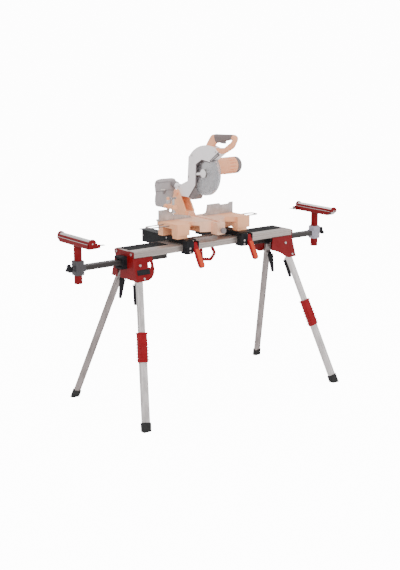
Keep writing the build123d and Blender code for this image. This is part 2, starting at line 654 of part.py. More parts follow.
def make_turntable():
    """The turning disc with its front skirt, pivot stub, nose and the boss of the tilt axis."""
    disc_low = TABLE_TOP - 20.6
    nose_y = TURN_Y - NOSE_R
    disc = rod((0, TURN_Y, disc_low), (0, TURN_Y, TABLE_TOP), TURN_R)
    disc -= box(-130, 130, COLUMN_Y - 6, 200, disc_low - 1, TABLE_TOP + 1)
    disc += sector(TURN_R, TURN_Y, 38, 838, disc_low + 1) - rod((0, TURN_Y, 830), (0, TURN_Y, disc_low), TURN_R - 6)
    disc += box(-24, 24, nose_y, TURN_Y - TURN_R + 2, 828, TABLE_TOP - 4)
    disc += rod((0, TURN_Y, 826), (0, TURN_Y, disc_low + 1), 12)
    disc += rod((0, COLUMN_Y - 20, TABLE_TOP), (0, COLUMN_Y - 6, TABLE_TOP), TILT_BOSS_R)
    disc -= box(-7, 7, nose_y + 14, COLUMN_Y - 28, TABLE_TOP - 16, TABLE_TOP + 5)
    disc -= rod((0, nose_y - 1, 850), (0, nose_y + 30, 850), 5 + RUNNING)
    return disc


def make_mitre_knob():
    """The fluted lock knob at the turntable's nose with its screw."""
    front = TURN_Y - NOSE_R
    knob = rod((0, front - 26, 850), (0, front - 1.5, 850), 15)
    for flute in range(6):
        angle = math.radians(60 * flute)
        x, z = 17 * math.cos(angle), 850 + 17 * math.sin(angle)
        knob -= rod((x, front - 27, z), (x, front - 8, z), 4)
    return knob + rod((0, front - 3, 850), (0, front + 26, 850), 5)


# ---------------------------------------------------------------- saw head

def make_bevel_arm():
    """The tilting column: a disc on the tilt axis and two ears that carry the head's pivot."""
    front = COLUMN_Y - 5.6
    arm = rod((0, front, TABLE_TOP), (0, COLUMN_Y + 4, TABLE_TOP), COLUMN_HALF)
    profile = ((COLUMN_Y, 886), (258, 886), (264, 940), (248, 974), (232, 1010), (222, 1017),
               (208, 1016), (201, 1006), (158, 938), (COLUMN_Y, 915))
    arm += plate_yz(profile, -COLUMN_HALF, COLUMN_HALF)
    arm -= box(-SLOT_HALF, SLOT_HALF, 130, 242, 912, 1040)
    arm += rod((-COLUMN_HALF, CHOP_Y, CHOP_Z), (COLUMN_HALF, CHOP_Y, CHOP_Z), 7)
    arm += rod((-COLUMN_HALF - 6, CHOP_Y, CHOP_Z), (-COLUMN_HALF, CHOP_Y, CHOP_Z), 13)
    arm -= rod((0, 240, TABLE_TOP + 10), (0, 270, TABLE_TOP + 10), 5 + RUNNING)
    return arm


def make_bevel_lever():
    """The tilt lock lever behind the column."""
    z = TABLE_TOP + 10
    lever = rod((0, 264.5, z), (0, 277, z), 13)
    lever += plate_xz(((-9, z), (9, z - 4), (62, z + 40), (52, z + 50)), 267, 276)
    return lever + rod((0, 244, z), (0, 266, z), 5)


def make_head_casting():
    """The upper guard casting with its pivot barrel, gear case, chute and dust outlet."""
    outline = make_face(Wire([
        Line((-121, 1226), (-78, 1252)), ThreePointArc((-78, 1252), (20, 1256), (103, 1216)),
        Line((103, 1216), (130, 1190)), Line((130, 1190), (139, 1068)),
        Line((139, 1068), (190, 1046)), Line((190, 1046), (228, 1036)), Line((228, 1036), (234, 1008)),
        ThreePointArc((234, 1008), (226, 988), (205, 986)),
        Line((205, 986), (128, 986)), Line((128, 986), (72, 1052)), Line((72, 1052), (67, 1160)),
        Line((67, 1160), (22, 1186)), Line((22, 1186), (-46, 1179)), Line((-46, 1179), (-121, 1226))]))
    face_plane = Plane(origin=(-GUARD_HALF, 0, 0), x_dir=(0, 1, 0), z_dir=(1, 0, 0))
    casting = face_plane * extrude(outline, 2 * GUARD_HALF)
    chute = plate_yz(((128, 988), (80, 1040), (52, 1012), (66, 984), (108, 976)), -CHUTE_HALF, CHUTE_HALF)
    casting += chute
    casting -= rod((-CAVITY_HALF, BLADE_Y, BLADE_Z), (CAVITY_HALF, BLADE_Y, BLADE_Z), CAVITY_R)
    gearcase = ((70, 1062), (80, 1180), (20, 1200), (-42, 1192), (-32, 1092), (8, 1066))
    casting += plate_yz(gearcase, CAVITY_HALF + 0.5, 30)
    casting += rod((-BARREL_HALF, CHOP_Y, CHOP_Z), (BARREL_HALF, CHOP_Y, CHOP_Z), 16)
    casting += ring((0, 222, 1024), (0, 262, 1032), 16, 12)
    casting -= rod((-40, CHOP_Y, CHOP_Z), (40, CHOP_Y, CHOP_Z), 7 + RUNNING)
    casting -= rod((0, BLADE_Y, BLADE_Z), (40, BLADE_Y, BLADE_Z), 8 + RUNNING)
    return casting


def make_lower_guard():
    """The clear guard: a half-round shell that turns about the spindle into the upper guard."""
    outer = BLADE_R + 5.5
    side = 9.6
    wall = 1.6
    shell = rod((-side, 0, 0), (side, 0, 0), outer)
    shell -= rod((-side + wall, 0, 0), (side - wall, 0, 0), outer - 2.2)
    shell -= rod((-20, 0, 0), (20, 0, 0), 26)
    keep = Rot(-45, 0, 0) * box(-20, 20, -200, 200, -200, 0)
    front_cut = Rot(45, 0, 0) * box(-20, 20, 0, 200, 0, 200)
    shell = shell & keep
    shell -= front_cut
    return Pos(0, BLADE_Y, BLADE_Z) * shell


def make_blade():
    """A toothed saw blade with a ring of expansion slots."""
    blade = rod((-1.2, 0, 0), (1.2, 0, 0), BLADE_R) - rod((-2, 0, 0), (2, 0, 0), 8)
    teeth = 24
    for tooth in range(teeth):
        gullet = plate_yz(((0, BLADE_R + 1), (0, BLADE_R - 9), (-6, BLADE_R - 6), (-13, BLADE_R + 1)), -2, 2)
        blade -= Rot(360 / teeth * tooth, 0, 0) * gullet
    return Pos(0, BLADE_Y, BLADE_Z) * blade


def make_arbor():
    """The spindle with its two flanges and the blade screw's head."""
    arbor = rod((-7, 0, 0), (36, 0, 0), 8)
    for x0, x1 in ((-6, -1.2), (1.2, 6)):
        arbor += rod((x0, 0, 0), (x1, 0, 0), 21)
    arbor += rod((-9, 0, 0), (-5, 0, 0), 12)
    hexagon = Plane(origin=(-14, 0, 0), x_dir=(0, 1, 0), z_dir=(1, 0, 0)) * extrude(RegularPolygon(8, 6), 6)
    return Pos(0, BLADE_Y, BLADE_Z) * (arbor + hexagon)


def make_motor():
    """The motor housing on the gear case, with cooling slots."""
    start = 30.0
    motor = rod((start, MOTOR_Y, MOTOR_Z), (start + 140, MOTOR_Y, MOTOR_Z), MOTOR_R)
    motor -= rod((start - 1, BLADE_Y, BLADE_Z), (start + 8, BLADE_Y, BLADE_Z), 10)
    motor += rod((start + 139, MOTOR_Y, MOTOR_Z), (start + 150, MOTOR_Y, MOTOR_Z), MOTOR_R - 3)
    return motor


def make_motor_cap():
    """The dark rounded end cap."""
    start = 180.0
    cap = rod((start, MOTOR_Y, MOTOR_Z), (start + 33, MOTOR_Y, MOTOR_Z), MOTOR_R - 1)
    return fillet(cap.edges().group_by(Axis.X)[-1], 20)


def make_handle(casting):
    """The D handle over the upper guard."""
    outer = make_face(Polyline((14, 1240), (4, 1262), (-34, 1312), (-50, 1318), (-196, 1326), (-222, 1325),
                               (-233, 1308), (-203, 1258), (-138, 1226), (-80, 1222), (-20, 1240), close=True))
    hole = make_face(Polyline((-70, 1272), (-54, 1250), (-140, 1256), (-192, 1288), (-204, 1303), close=True))
    plane = Plane(origin=(-15, 0, 0), x_dir=(0, 1, 0), z_dir=(1, 0, 0))
    handle = plane * extrude(outer - hole, 30)
    handle -= box(-6.4, 6.4, -140.4, -107.6, 1270, 1298)
    solid = handle - casting
    return solid


def make_trigger():
    """The trigger under the grip; it travels upwards into the handle."""
    return box(-6, 6, -140, -108, 1277, 1292)


def make_dust_bag():
    """The dust bag as a plain closed solid on the dust outlet."""
    outline = ((288, 918), (416, 898), (427, 1040), (304, 1063), (264, 1053), (264, 1012), (288, 998))
    bag = plate_yz(outline, -40, 40)
    neck = plate_yz(((240, 980), (290, 980), (290, 1070), (240, 1070)), -60, 60)
    slim = plate_yz(((240, 980), (290, 980), (290, 1070), (240, 1070)), -20, 20)
    bag = bag - (neck - slim)
    return bag - rod((0, 222, 1024), (0, 266, 1032.8), 16.2)


def make_work_clamp():
    """The clamp's post behind the fence and its arm over the table."""
    arm_low = CLAMP_ARM_Z - 10
    screw_y = CLAMP_Y - CLAMP_REACH
    clamp = rod((CLAMP_X, CLAMP_Y, 868.5), (CLAMP_X, CLAMP_Y, 1004), 7)
    clamp += box(CLAMP_X - 12, CLAMP_X + 12, screw_y - 14, CLAMP_Y + 13, arm_low, CLAMP_ARM_Z + 10)
    clamp += rod((CLAMP_X - 22, CLAMP_Y, CLAMP_ARM_Z), (CLAMP_X - 11, CLAMP_Y, CLAMP_ARM_Z), 9)
    return clamp - rod((CLAMP_X, screw_y, arm_low - 1), (CLAMP_X, screw_y, CLAMP_ARM_Z + 11), 6 + RUNNING)


def make_clamp_screw():
    """The clamp's screw with its pad and its T handle."""
    y = CLAMP_Y - CLAMP_REACH
    pad = CLAMP_ARM_Z - 29
    handle = CLAMP_ARM_Z + 43
    screw = rod((CLAMP_X, y, pad + 3), (CLAMP_X, y, handle), 6)
    screw += rod((CLAMP_X, y, pad), (CLAMP_X, y, pad + 6), 14)
    return screw + rod((CLAMP_X - 16, y, handle), (CLAMP_X + 16, y, handle), 5)


# ---------------------------------------------------------------- assembly

def build_all():
    """Makes every node, drawn about the point under the middle of the beam."""
    ALL["beam"] = make_beam()
    ALL["beam_trays"] = make_trays()
    ALL["left_bracket"] = make_bracket()
    ALL["right_bracket"] = half_turn(ALL["left_bracket"])
    ALL["bracket_fasteners"] = make_fasteners()
    ALL["nameplates"] = make_nameplates()
    ALL["carry_handle"] = make_carry_handle()
    ALL["arm_guides"] = make_guides()
    make_legs()
    make_supports()
    ALL["saw_rails"] = Compound(children=[Pos(x, 0, 0) * make_rail() for x in RAIL_X])
    ALL["rail_jaws"] = Compound(children=[Pos(x, 0, 0) * make_jaw() for x in RAIL_X])
    ALL["rail_bolts"] = make_rail_bolts()
    ALL["left_clamp_lever"] = Pos(RAIL_X[0], 0, 0) * make_clamp_lever()
    ALL["right_clamp_lever"] = Pos(RAIL_X[1], 0, 0) * make_clamp_lever()
    ALL["saw_base"] = make_base()
    ALL["fence"] = make_fence()
    ALL["left_wire"] = wire_support(-1)
    ALL["right_wire"] = wire_support(1)
    ALL["turntable"] = make_turntable()
    ALL["mitre_knob"] = make_mitre_knob()
    ALL["bevel_arm"] = make_bevel_arm()
    ALL["bevel_lever"] = make_bevel_lever()
    ALL["saw_head"] = make_head_casting()
    ALL["lower_guard"] = make_lower_guard()
    ALL["blade"] = make_blade()
    ALL["blade_arbor"] = make_arbor()
    ALL["motor_housing"] = make_motor()
    ALL["motor_cap"] = make_motor_cap()
    ALL["handle"] = make_handle(ALL["saw_head"])
    ALL["trigger"] = make_trigger()
    ALL["dust_bag"] = make_dust_bag()
    ALL["work_clamp"] = make_work_clamp()
    ALL["work_clamp_screw"] = make_clamp_screw()


build_all()
FOOTPRINT = Compound(children=[Compound(children=shape.solids()) for shape in ALL.values()]).bounding_box()
SHIFT = Vector(-round(FOOTPRINT.center().X, 2), -round(FOOTPRINT.center().Y, 2), 0)

os.makedirs("parts", exist_ok=True)
for node, shape in ALL.items():
    solids = Compound(children=[Pos(*SHIFT) * solid for solid in shape.solids()])
    export_step(solids, f"parts/{node}.step")
print("nodes", len(ALL), "shift", SHIFT, "size", FOOTPRINT.size)
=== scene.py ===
"""A mitre saw clamped to a folding work stand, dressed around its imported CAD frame.

Sizes are in millimetres about the floor point under the middle of the beam: X runs along the beam,
-Y is the operator's side and +Z is up. Surfaces are turned into metres in the frame as they are made.
"""

import json
import logging
import math
from dataclasses import dataclass, field, replace
from enum import Enum
from typing import Callable, Optional, Sequence

import bmesh
import bpy
import numpy as np
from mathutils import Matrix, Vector

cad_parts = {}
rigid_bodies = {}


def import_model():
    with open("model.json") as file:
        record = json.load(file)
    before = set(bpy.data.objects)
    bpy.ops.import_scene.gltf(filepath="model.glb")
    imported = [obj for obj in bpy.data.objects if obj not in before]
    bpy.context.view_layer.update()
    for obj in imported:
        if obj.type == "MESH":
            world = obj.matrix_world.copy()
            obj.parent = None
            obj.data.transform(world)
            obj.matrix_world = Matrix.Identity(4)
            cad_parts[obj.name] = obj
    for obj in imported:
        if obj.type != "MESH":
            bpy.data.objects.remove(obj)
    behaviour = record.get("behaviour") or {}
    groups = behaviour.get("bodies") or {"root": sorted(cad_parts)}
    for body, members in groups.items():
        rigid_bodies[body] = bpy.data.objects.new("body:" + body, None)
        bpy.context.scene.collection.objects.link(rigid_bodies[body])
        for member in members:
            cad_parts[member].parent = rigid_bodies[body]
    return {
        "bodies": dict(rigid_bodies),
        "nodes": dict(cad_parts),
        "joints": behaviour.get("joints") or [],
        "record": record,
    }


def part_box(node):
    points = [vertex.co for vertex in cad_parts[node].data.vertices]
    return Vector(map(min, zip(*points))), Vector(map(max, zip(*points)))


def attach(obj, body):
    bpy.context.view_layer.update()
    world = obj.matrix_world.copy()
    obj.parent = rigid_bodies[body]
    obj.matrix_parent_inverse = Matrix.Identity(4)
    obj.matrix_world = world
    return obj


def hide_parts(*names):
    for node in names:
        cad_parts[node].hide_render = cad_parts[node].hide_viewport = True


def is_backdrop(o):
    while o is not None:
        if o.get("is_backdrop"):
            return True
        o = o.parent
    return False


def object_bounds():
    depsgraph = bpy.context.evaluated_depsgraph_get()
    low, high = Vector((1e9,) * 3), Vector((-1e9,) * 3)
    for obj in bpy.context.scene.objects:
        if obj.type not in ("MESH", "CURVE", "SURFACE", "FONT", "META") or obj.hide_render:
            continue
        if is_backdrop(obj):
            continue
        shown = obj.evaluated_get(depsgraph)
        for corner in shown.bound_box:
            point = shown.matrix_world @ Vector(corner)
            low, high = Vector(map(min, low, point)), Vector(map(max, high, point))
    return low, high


LOG = logging.getLogger("mitre_saw_on_stand")
MM = 0.001
Colour = tuple[float, float, float]
Point = tuple[float, float, float]
Corner = tuple[float, float]


# ---------------------------------------------------------------- finishes

class Pattern(Enum):
    """The fine structure that a finish shows."""

    GRAIN = "grain"
    BRUSHED = "brushed"
    CAST = "cast"
    WEAVE = "weave"
    TURNED = "turned"


def _group(name: str, inputs: Sequence[tuple[str, str, float]], outputs: Sequence[tuple[str, str]]) -> tuple:
    """Starts a shader node group.

    Args:
        name: the group's name.
        inputs: name, socket type and default of each input.
        outputs: name and socket type of each output.

    Returns:
        The tree, its input node and its output node.
    """
    tree = bpy.data.node_groups.new(name, "ShaderNodeTree")
    for label, kind, default in inputs:
        socket = tree.interface.new_socket(label, in_out="INPUT", socket_type=kind)
        if kind == "NodeSocketFloat":
            socket.default_value = default
    for label, kind in outputs:
        tree.interface.new_socket(label, in_out="OUTPUT", socket_type=kind)
    return tree, tree.nodes.new("NodeGroupInput"), tree.nodes.new("NodeGroupOutput")


def _math(tree: bpy.types.NodeTree, operation: str, *terms: object,
          clamp: bool = False) -> bpy.types.NodeSocket:
    """Adds a Math node.

    Args:
        tree: the tree it goes in.
        operation: the Math node's operation.
        terms: sockets or numbers for its inputs.
        clamp: whether the result stays between 0 and 1.

    Returns:
        Its value socket.
    """
    node = tree.nodes.new("ShaderNodeMath")
    node.operation = operation
    node.use_clamp = clamp
    for index, term in enumerate(terms):
        if isinstance(term, (int, float)):
            node.inputs[index].default_value = term
        else:
            tree.links.new(term, node.inputs[index])
    return node.outputs[0]


def _noise(tree: bpy.types.NodeTree, vector: object, scale: object, detail: float) -> bpy.types.NodeSocket:
    """Adds a Noise Texture and returns its value socket."""
    node = tree.nodes.new("ShaderNodeTexNoise")
    node.inputs["Detail"].default_value = detail
    tree.links.new(vector, node.inputs["Vector"])
    if isinstance(scale, (int, float)):
        node.inputs["Scale"].default_value = scale
    else:
        tree.links.new(scale, node.inputs["Scale"])
    return node.outputs["Fac"]


FLOAT, VECTOR = "NodeSocketFloat", "NodeSocketVector"


class EffectGroups:
    """The node groups that the finishes share, each made once."""

    def __init__(self) -> None:
        """Makes every group."""
        self.soft_edge = self._make_soft_edge()
        self.grain = self._make_grain()
        self.weave = self._make_weave()
        self.turned = self._make_turned()
        self.dust = self._make_dust()

    @staticmethod
    def _make_soft_edge() -> bpy.types.NodeTree:
        """Rounded normals on sharp edges, and a broken-up mask that is 1 along them."""
        tree, source, result = _group(
            "soft_edge", [("Vector", VECTOR, 0), ("Radius", FLOAT, 0.001), ("Wear", FLOAT, 0.3)],
            [("Normal", VECTOR), ("Mask", FLOAT)])
        bevel = tree.nodes.new("ShaderNodeBevel")
        bevel.samples = 4
        tree.links.new(source.outputs["Radius"], bevel.inputs["Radius"])
        geometry = tree.nodes.new("ShaderNodeNewGeometry")
        dot = tree.nodes.new("ShaderNodeVectorMath")
        dot.operation = "DOT_PRODUCT"
        tree.links.new(bevel.outputs["Normal"], dot.inputs[0])
        tree.links.new(geometry.outputs["Normal"], dot.inputs[1])
        bent = _math(tree, "SUBTRACT", 1.0, dot.outputs["Value"])
        patchy = _noise(tree, source.outputs["Vector"], 60.0, 3.0)
        strong = _math(tree, "MULTIPLY", bent, 6.0, clamp=True)
        broken = _math(tree, "MULTIPLY", strong, _math(tree, "POWER", patchy, 1.5), clamp=True)
        edge_wear_and_highlight = _math(tree, "MULTIPLY", broken, source.outputs["Wear"], clamp=True)
        tree.links.new(edge_wear_and_highlight, result.inputs["Mask"])
        tree.links.new(bevel.outputs["Normal"], result.inputs["Normal"])
        return tree

    @staticmethod
    def _make_grain() -> bpy.types.NodeTree:
        """Fine noise for bump, and broad noise that mottles the colour."""
        tree, source, result = _group(
            "grain", [("Vector", VECTOR, 0), ("Scale", FLOAT, 400)], [("Height", FLOAT), ("Mottle", FLOAT)])
        fine = _noise(tree, source.outputs["Vector"], source.outputs["Scale"], 4.0)
        broad_scale = _math(tree, "MULTIPLY", source.outputs["Scale"], 0.05)
        broad = _noise(tree, source.outputs["Vector"], broad_scale, 3.0)
        tree.links.new(fine, result.inputs["Height"])
        tree.links.new(_math(tree, "ADD", _math(tree, "MULTIPLY", broad, 0.7), _math(tree, "MULTIPLY", fine, 0.3)),
                       result.inputs["Mottle"])
        return tree

    @staticmethod
    def _make_weave() -> bpy.types.NodeTree:
        """Crossed threads: the sum of the products of two of the three coordinates' sines."""
        tree, source, result = _group(
            "weave", [("Vector", VECTOR, 0), ("Scale", FLOAT, 2500)], [("Height", FLOAT), ("Mottle", FLOAT)])
        split = tree.nodes.new("ShaderNodeSeparateXYZ")
        tree.links.new(source.outputs["Vector"], split.inputs[0])
        waves = [_math(tree, "SINE", _math(tree, "MULTIPLY", split.outputs[axis], source.outputs["Scale"]))
                 for axis in range(3)]
        pairs = [_math(tree, "MULTIPLY", waves[a], waves[b]) for a, b in ((0, 1), (1, 2), (2, 0))]
        total = _math(tree, "ADD", _math(tree, "ADD", pairs[0], pairs[1]), pairs[2])
        height = _math(tree, "MULTIPLY_ADD", total, 0.3, 0.5)
        slub = _noise(tree, source.outputs["Vector"], 45.0, 4.0)
        tree.links.new(height, result.inputs["Height"])
        tree.links.new(_math(tree, "ADD", _math(tree, "MULTIPLY", height, 0.35), _math(tree, "MULTIPLY", slub, 0.65)),
                       result.inputs["Mottle"])
        return tree

    @staticmethod
    def _make_turned() -> bpy.types.NodeTree:
        """Rings about local Z, as a lathe leaves them: the sine of the distance from the axis."""
        tree, source, result = _group(
            "turned", [("Vector", VECTOR, 0), ("Scale", FLOAT, 3000)], [("Height", FLOAT), ("Mottle", FLOAT)])
        split = tree.nodes.new("ShaderNodeSeparateXYZ")
        tree.links.new(source.outputs["Vector"], split.inputs[0])
        square = _math(tree, "ADD", _math(tree, "POWER", _math(tree, "ABSOLUTE", split.outputs[0]), 2.0),
                       _math(tree, "POWER", _math(tree, "ABSOLUTE", split.outputs[1]), 2.0))
        radius = _math(tree, "SQRT", square)
        ring = _math(tree, "SINE", _math(tree, "MULTIPLY", radius, source.outputs["Scale"]))
        stain = _noise(tree, source.outputs["Vector"], 30.0, 3.0)
        tree.links.new(_math(tree, "MULTIPLY_ADD", ring, 0.5, 0.5), result.inputs["Height"])
        tree.links.new(_math(tree, "MULTIPLY_ADD", ring, 0.12, stain), result.inputs["Mottle"])
        return tree

    @staticmethod
    def _make_dust() -> bpy.types.NodeTree:
        """A patchy mask on faces that look up."""
        tree, source, result = _group(
            "dust", [("Vector", VECTOR, 0), ("Amount", FLOAT, 0.1)], [("Mask", FLOAT)])
        geometry = tree.nodes.new("ShaderNodeNewGeometry")
        split = tree.nodes.new("ShaderNodeSeparateXYZ")
        tree.links.new(geometry.outputs["Normal"], split.inputs[0])
        upward = _math(tree, "POWER", _math(tree, "MAXIMUM", split.outputs[2], 0.0), 3.0)
        patchy = _noise(tree, source.outputs["Vector"], 14.0, 5.0)
        tree.links.new(_math(tree, "MULTIPLY", _math(tree, "MULTIPLY", upward, patchy), source.outputs["Amount"],
                             clamp=True), result.inputs["Mask"])
        return tree


@dataclass(frozen=True)
class Finish:
    """One surface finish and how its Principled material is built."""

    name: str
    colour: Colour
    slot: str
    roughness: float = 0.45
    metallic: float = 0.0
    pattern: Pattern = Pattern.GRAIN
    scale: float = 500.0
    depth: float = 0.08
    contrast: float = 0.12
    stretch: Point = (1.0, 1.0, 1.0)
    turn: Point = (0.0, 0.0, 0.0)
    shift: Point = (0.0, 0.0, 0.0)
    # Colour and share along sharp edges: edge wear on most finishes, and on the red paint a painted highlight on the
    # bent folds.
    edge: float = 0.8
    edge_wear_and_highlight_share: float = 0.25
    edge_wear_and_highlight: Optional[Colour] = None
    dust: float = 0.08
    coat: float = 0.0
    sheen: float = 0.0
    clear: float = 0.0
    specular: float = 0.5
    glow: float = 0.0

    def build(self, groups: EffectGroups) -> bpy.types.Material:
        """Makes the material, or returns it if it exists.

        Args:
            groups: the shared node groups.

        Returns:
            The Blender material.
        """
        found = bpy.data.materials.get(self.name)
        if found is not None:
            return found
        material = bpy.data.materials.new(self.name)
        material.use_nodes = True
        tree = material.node_tree
        shader = tree.nodes["Principled BSDF"]
        shader.inputs["Metallic"].default_value = self.metallic
        shader.inputs["Coat Weight"].default_value = self.coat
        shader.inputs["Coat Roughness"].default_value = 0.12
        shader.inputs["Sheen Weight"].default_value = self.sheen
        shader.inputs["Sheen Roughness"].default_value = 0.5
        shader.inputs["Transmission Weight"].default_value = self.clear
        shader.inputs["Specular IOR Level"].default_value = self.specular
        shader.inputs["Emission Color"].default_value = (1, 1, 1, 1)
        if self.glow:
            seen = tree.nodes.new("ShaderNodeLightPath").outputs["Is Camera Ray"]
            tree.links.new(_math(tree, "MULTIPLY", seen, self.glow), shader.inputs["Emission Strength"])
        coordinates = tree.nodes.new("ShaderNodeTexCoord")
        mapping = tree.nodes.new("ShaderNodeMapping")
        mapping.inputs["Location"].default_value = self.shift
        mapping.inputs["Rotation"].default_value = self.turn
        mapping.inputs["Scale"].default_value = self.stretch
        tree.links.new(coordinates.outputs["Object"], mapping.inputs["Vector"])
        fine = self._add(tree, self._texture(groups), Vector=mapping.outputs[0], Scale=self.scale)
        edge = self._add(tree, groups.soft_edge, Vector=coordinates.outputs["Object"], Radius=self.edge * MM,
                         Wear=self.edge_wear_and_highlight_share)
        dust = self._add(tree, groups.dust, Vector=coordinates.outputs["Object"], Amount=self.dust)
        toned = self._tone(tree, fine.outputs["Mottle"])
        # Edges take the edge colour: lighter for edge wear on most finishes, and a painted highlight on the red
        # paint's bent folds.
        edge_wear_and_highlight = self._blend(tree, edge.outputs["Mask"], toned, self.edge_wear_and_highlight or self._lighter(0.35))
        dusty = self._blend(tree, dust.outputs["Mask"], edge_wear_and_highlight, (0.62, 0.55, 0.47))
        tree.links.new(dusty, shader.inputs["Base Color"])
        rough = _math(tree, "MULTIPLY_ADD", fine.outputs["Mottle"], 0.25, self.roughness - 0.12)
        tree.links.new(_math(tree, "ADD", rough, dust.outputs["Mask"], clamp=True), shader.inputs["Roughness"])
        bump = tree.nodes.new("ShaderNodeBump")
        bump.inputs["Strength"].default_value = self.depth
        bump.inputs["Distance"].default_value = MM
        tree.links.new(fine.outputs["Height"], bump.inputs["Height"])
        tree.links.new(edge.outputs["Normal"], bump.inputs["Normal"])
        tree.links.new(bump.outputs["Normal"], shader.inputs["Normal"])
        return material

    def _texture(self, groups: EffectGroups) -> bpy.types.NodeTree:
        """The group that gives the finish its fine structure."""
        chosen = {Pattern.WEAVE: groups.weave, Pattern.TURNED: groups.turned}
        return chosen.get(self.pattern, groups.grain)

    def _lighter(self, share: float) -> Colour:
        """The finish's colour, part of the way to white."""
        return tuple(c + (1 - c) * share for c in self.colour)

    @staticmethod
    def _add(tree: bpy.types.NodeTree, group: bpy.types.NodeTree, **inputs: object) -> bpy.types.Node:
        """Places a group and sets or links its inputs by name."""
        node = tree.nodes.new("ShaderNodeGroup")
        node.node_tree = group
        for label, value in inputs.items():
            if isinstance(value, (int, float)):
                node.inputs[label].default_value = value
            else:
                tree.links.new(value, node.inputs[label])
        return node

    def _tone(self, tree: bpy.types.NodeTree, mottle: bpy.types.NodeSocket) -> bpy.types.NodeSocket:
        """The base colour between a darker and a lighter tone by the mottle."""
        ramp = tree.nodes.new("ShaderNodeValToRGB")
        ramp.color_ramp.elements[0].position = 0.3
        ramp.color_ramp.elements[1].position = 0.7
        dark = tuple(c * (1 - self.contrast) for c in self.colour)
        light = tuple(min(1.0, c * (1 + self.contrast) + 0.01) for c in self.colour)
        ramp.color_ramp.elements[0].color = (*dark, 1)
        ramp.color_ramp.elements[1].color = (*light, 1)
        tree.links.new(mottle, ramp.inputs[0])
        return ramp.outputs[0]

    @staticmethod
    def _blend(tree: bpy.types.NodeTree, mask: bpy.types.NodeSocket, base: bpy.types.NodeSocket,
               colour: Colour) -> bpy.types.NodeSocket:
        """Mixes a colour over the base by a mask."""
        mix = tree.nodes.new("ShaderNodeMix")
        mix.data_type = "RGBA"
        tree.links.new(mask, mix.inputs["Factor"])
        tree.links.new(base, mix.inputs["A"])
        mix.inputs["B"].default_value = (*colour, 1)
        return mix.outputs["Result"]


RED = (0.17, 0.0, 0.002)
PEACH = (0.98, 0.45, 0.23)
LENGTHWISE = (0.02, 1.0, 1.0)
ALONG_LEG = (1.0, 1.0, 0.02)

ALUMINIUM = Finish("extruded_aluminium", (0.38, 0.325, 0.30), "aluminium", 0.38, 0.6, Pattern.BRUSHED, 900, 0.06,
                   0.32, LENGTHWISE, edge_wear_and_highlight_share=0.1)
DECK = replace(ALUMINIUM, name="deck_aluminium", roughness=0.3, depth=0.03)
# The red paint's lighter pink edge colour is a painted highlight on the bent folds of the brackets and heads.
RED_PAINT = Finish("red_powder_coat", RED, "red_paint", 0.34, 0.0, Pattern.GRAIN, 700, 0.05, 0.08, edge=2.0,
                   edge_wear_and_highlight=(0.55, 0.10, 0.12), edge_wear_and_highlight_share=0.4, dust=0.0, specular=0.12)
RED_PLASTIC = Finish("red_moulded_plastic", (0.24, 0.0, 0.004), "red_plastic", 0.4, scale=1200, depth=0.05,
                     contrast=0.05, edge_wear_and_highlight=(0.5, 0.06, 0.06), dust=0.0, specular=0.12)
ORANGE_PLASTIC = Finish("orange_moulded_plastic", (0.52, 0.045, 0.012), "red_plastic", 0.4, scale=1200, depth=0.05,
                        dust=0.0, specular=0.15)
BLACK_PLASTIC = Finish("black_moulded_plastic", (0.010, 0.010, 0.012), "black_plastic", 0.5, scale=1500,
                       depth=0.12, contrast=0.3, edge_wear_and_highlight=(0.06, 0.06, 0.07), dust=0.0, specular=0.08)
BLACK_STEEL = Finish("black_satin_paint", (0.008, 0.008, 0.010), "black_steel", 0.4, scale=800, depth=0.05,
                     contrast=0.25, edge_wear_and_highlight=(0.18, 0.18, 0.19), dust=0.0, specular=0.08)
ZINC = Finish("zinc_plate", (0.60, 0.58, 0.57), "zinc", 0.3, 0.9, Pattern.GRAIN, 260, 0.05, 0.14, edge_wear_and_highlight_share=0.1)
BOLT_ZINC = replace(ZINC, name="dull_bolt_zinc", colour=(0.42, 0.38, 0.38), roughness=0.42)
WIRE_ZINC = replace(ZINC, name="drawn_wire", colour=(0.34, 0.30, 0.30), roughness=0.4)
ARM_STEEL = Finish("dark_drawn_steel", (0.045, 0.038, 0.037), "dark_steel", 0.42, 0.5, Pattern.BRUSHED, 800, 0.08,
                   0.3, LENGTHWISE, dust=0.02)
CAST_BLOCK = Finish("cast_clamp_block", (0.33, 0.31, 0.37), "cast_grey", 0.5, 0.3, Pattern.CAST, 420, 0.3, 0.15)
# A darker copy of the cast grey for the left block: painted shade, as that block stands in shade.
SHADED_CAST_BLOCK = replace(CAST_BLOCK, name="painted_shade_clamp_block", colour=(0.055, 0.05, 0.055))
RUBBER = Finish("black_rubber", (0.012, 0.012, 0.012), "rubber", 0.75, scale=1100, depth=0.2, contrast=0.3,
                dust=0.1, specular=0.3)
SAW_CASTING = Finish("painted_saw_casting", PEACH, "saw_casting", 0.5, 0.0, Pattern.CAST, 500, 0.16, 0.07,
                     edge_wear_and_highlight=(0.9, 0.78, 0.7))
TABLE = Finish("machined_table", (0.93, 0.53, 0.35), "table", 0.42, 0.25, Pattern.TURNED, 5200, 0.06, 0.08,
               edge_wear_and_highlight=(0.9, 0.8, 0.74))
SAW_PLASTIC = Finish("saw_housing_plastic", (0.98, 0.41, 0.21), "saw_plastic", 0.42, scale=1300, depth=0.07,
                     contrast=0.05)
GUARD_PAINT = Finish("pale_guard_paint", (0.88, 0.84, 0.85), "guard_grey", 0.42, 0.0, Pattern.CAST, 600, 0.08, 0.04,
                     edge_wear_and_highlight=(0.85, 0.84, 0.84))
GUARD_TRIM = Finish("dark_guard_trim", (0.13, 0.11, 0.11), "dark_plastic", 0.5, scale=1300, depth=0.1,
                    specular=0.3)
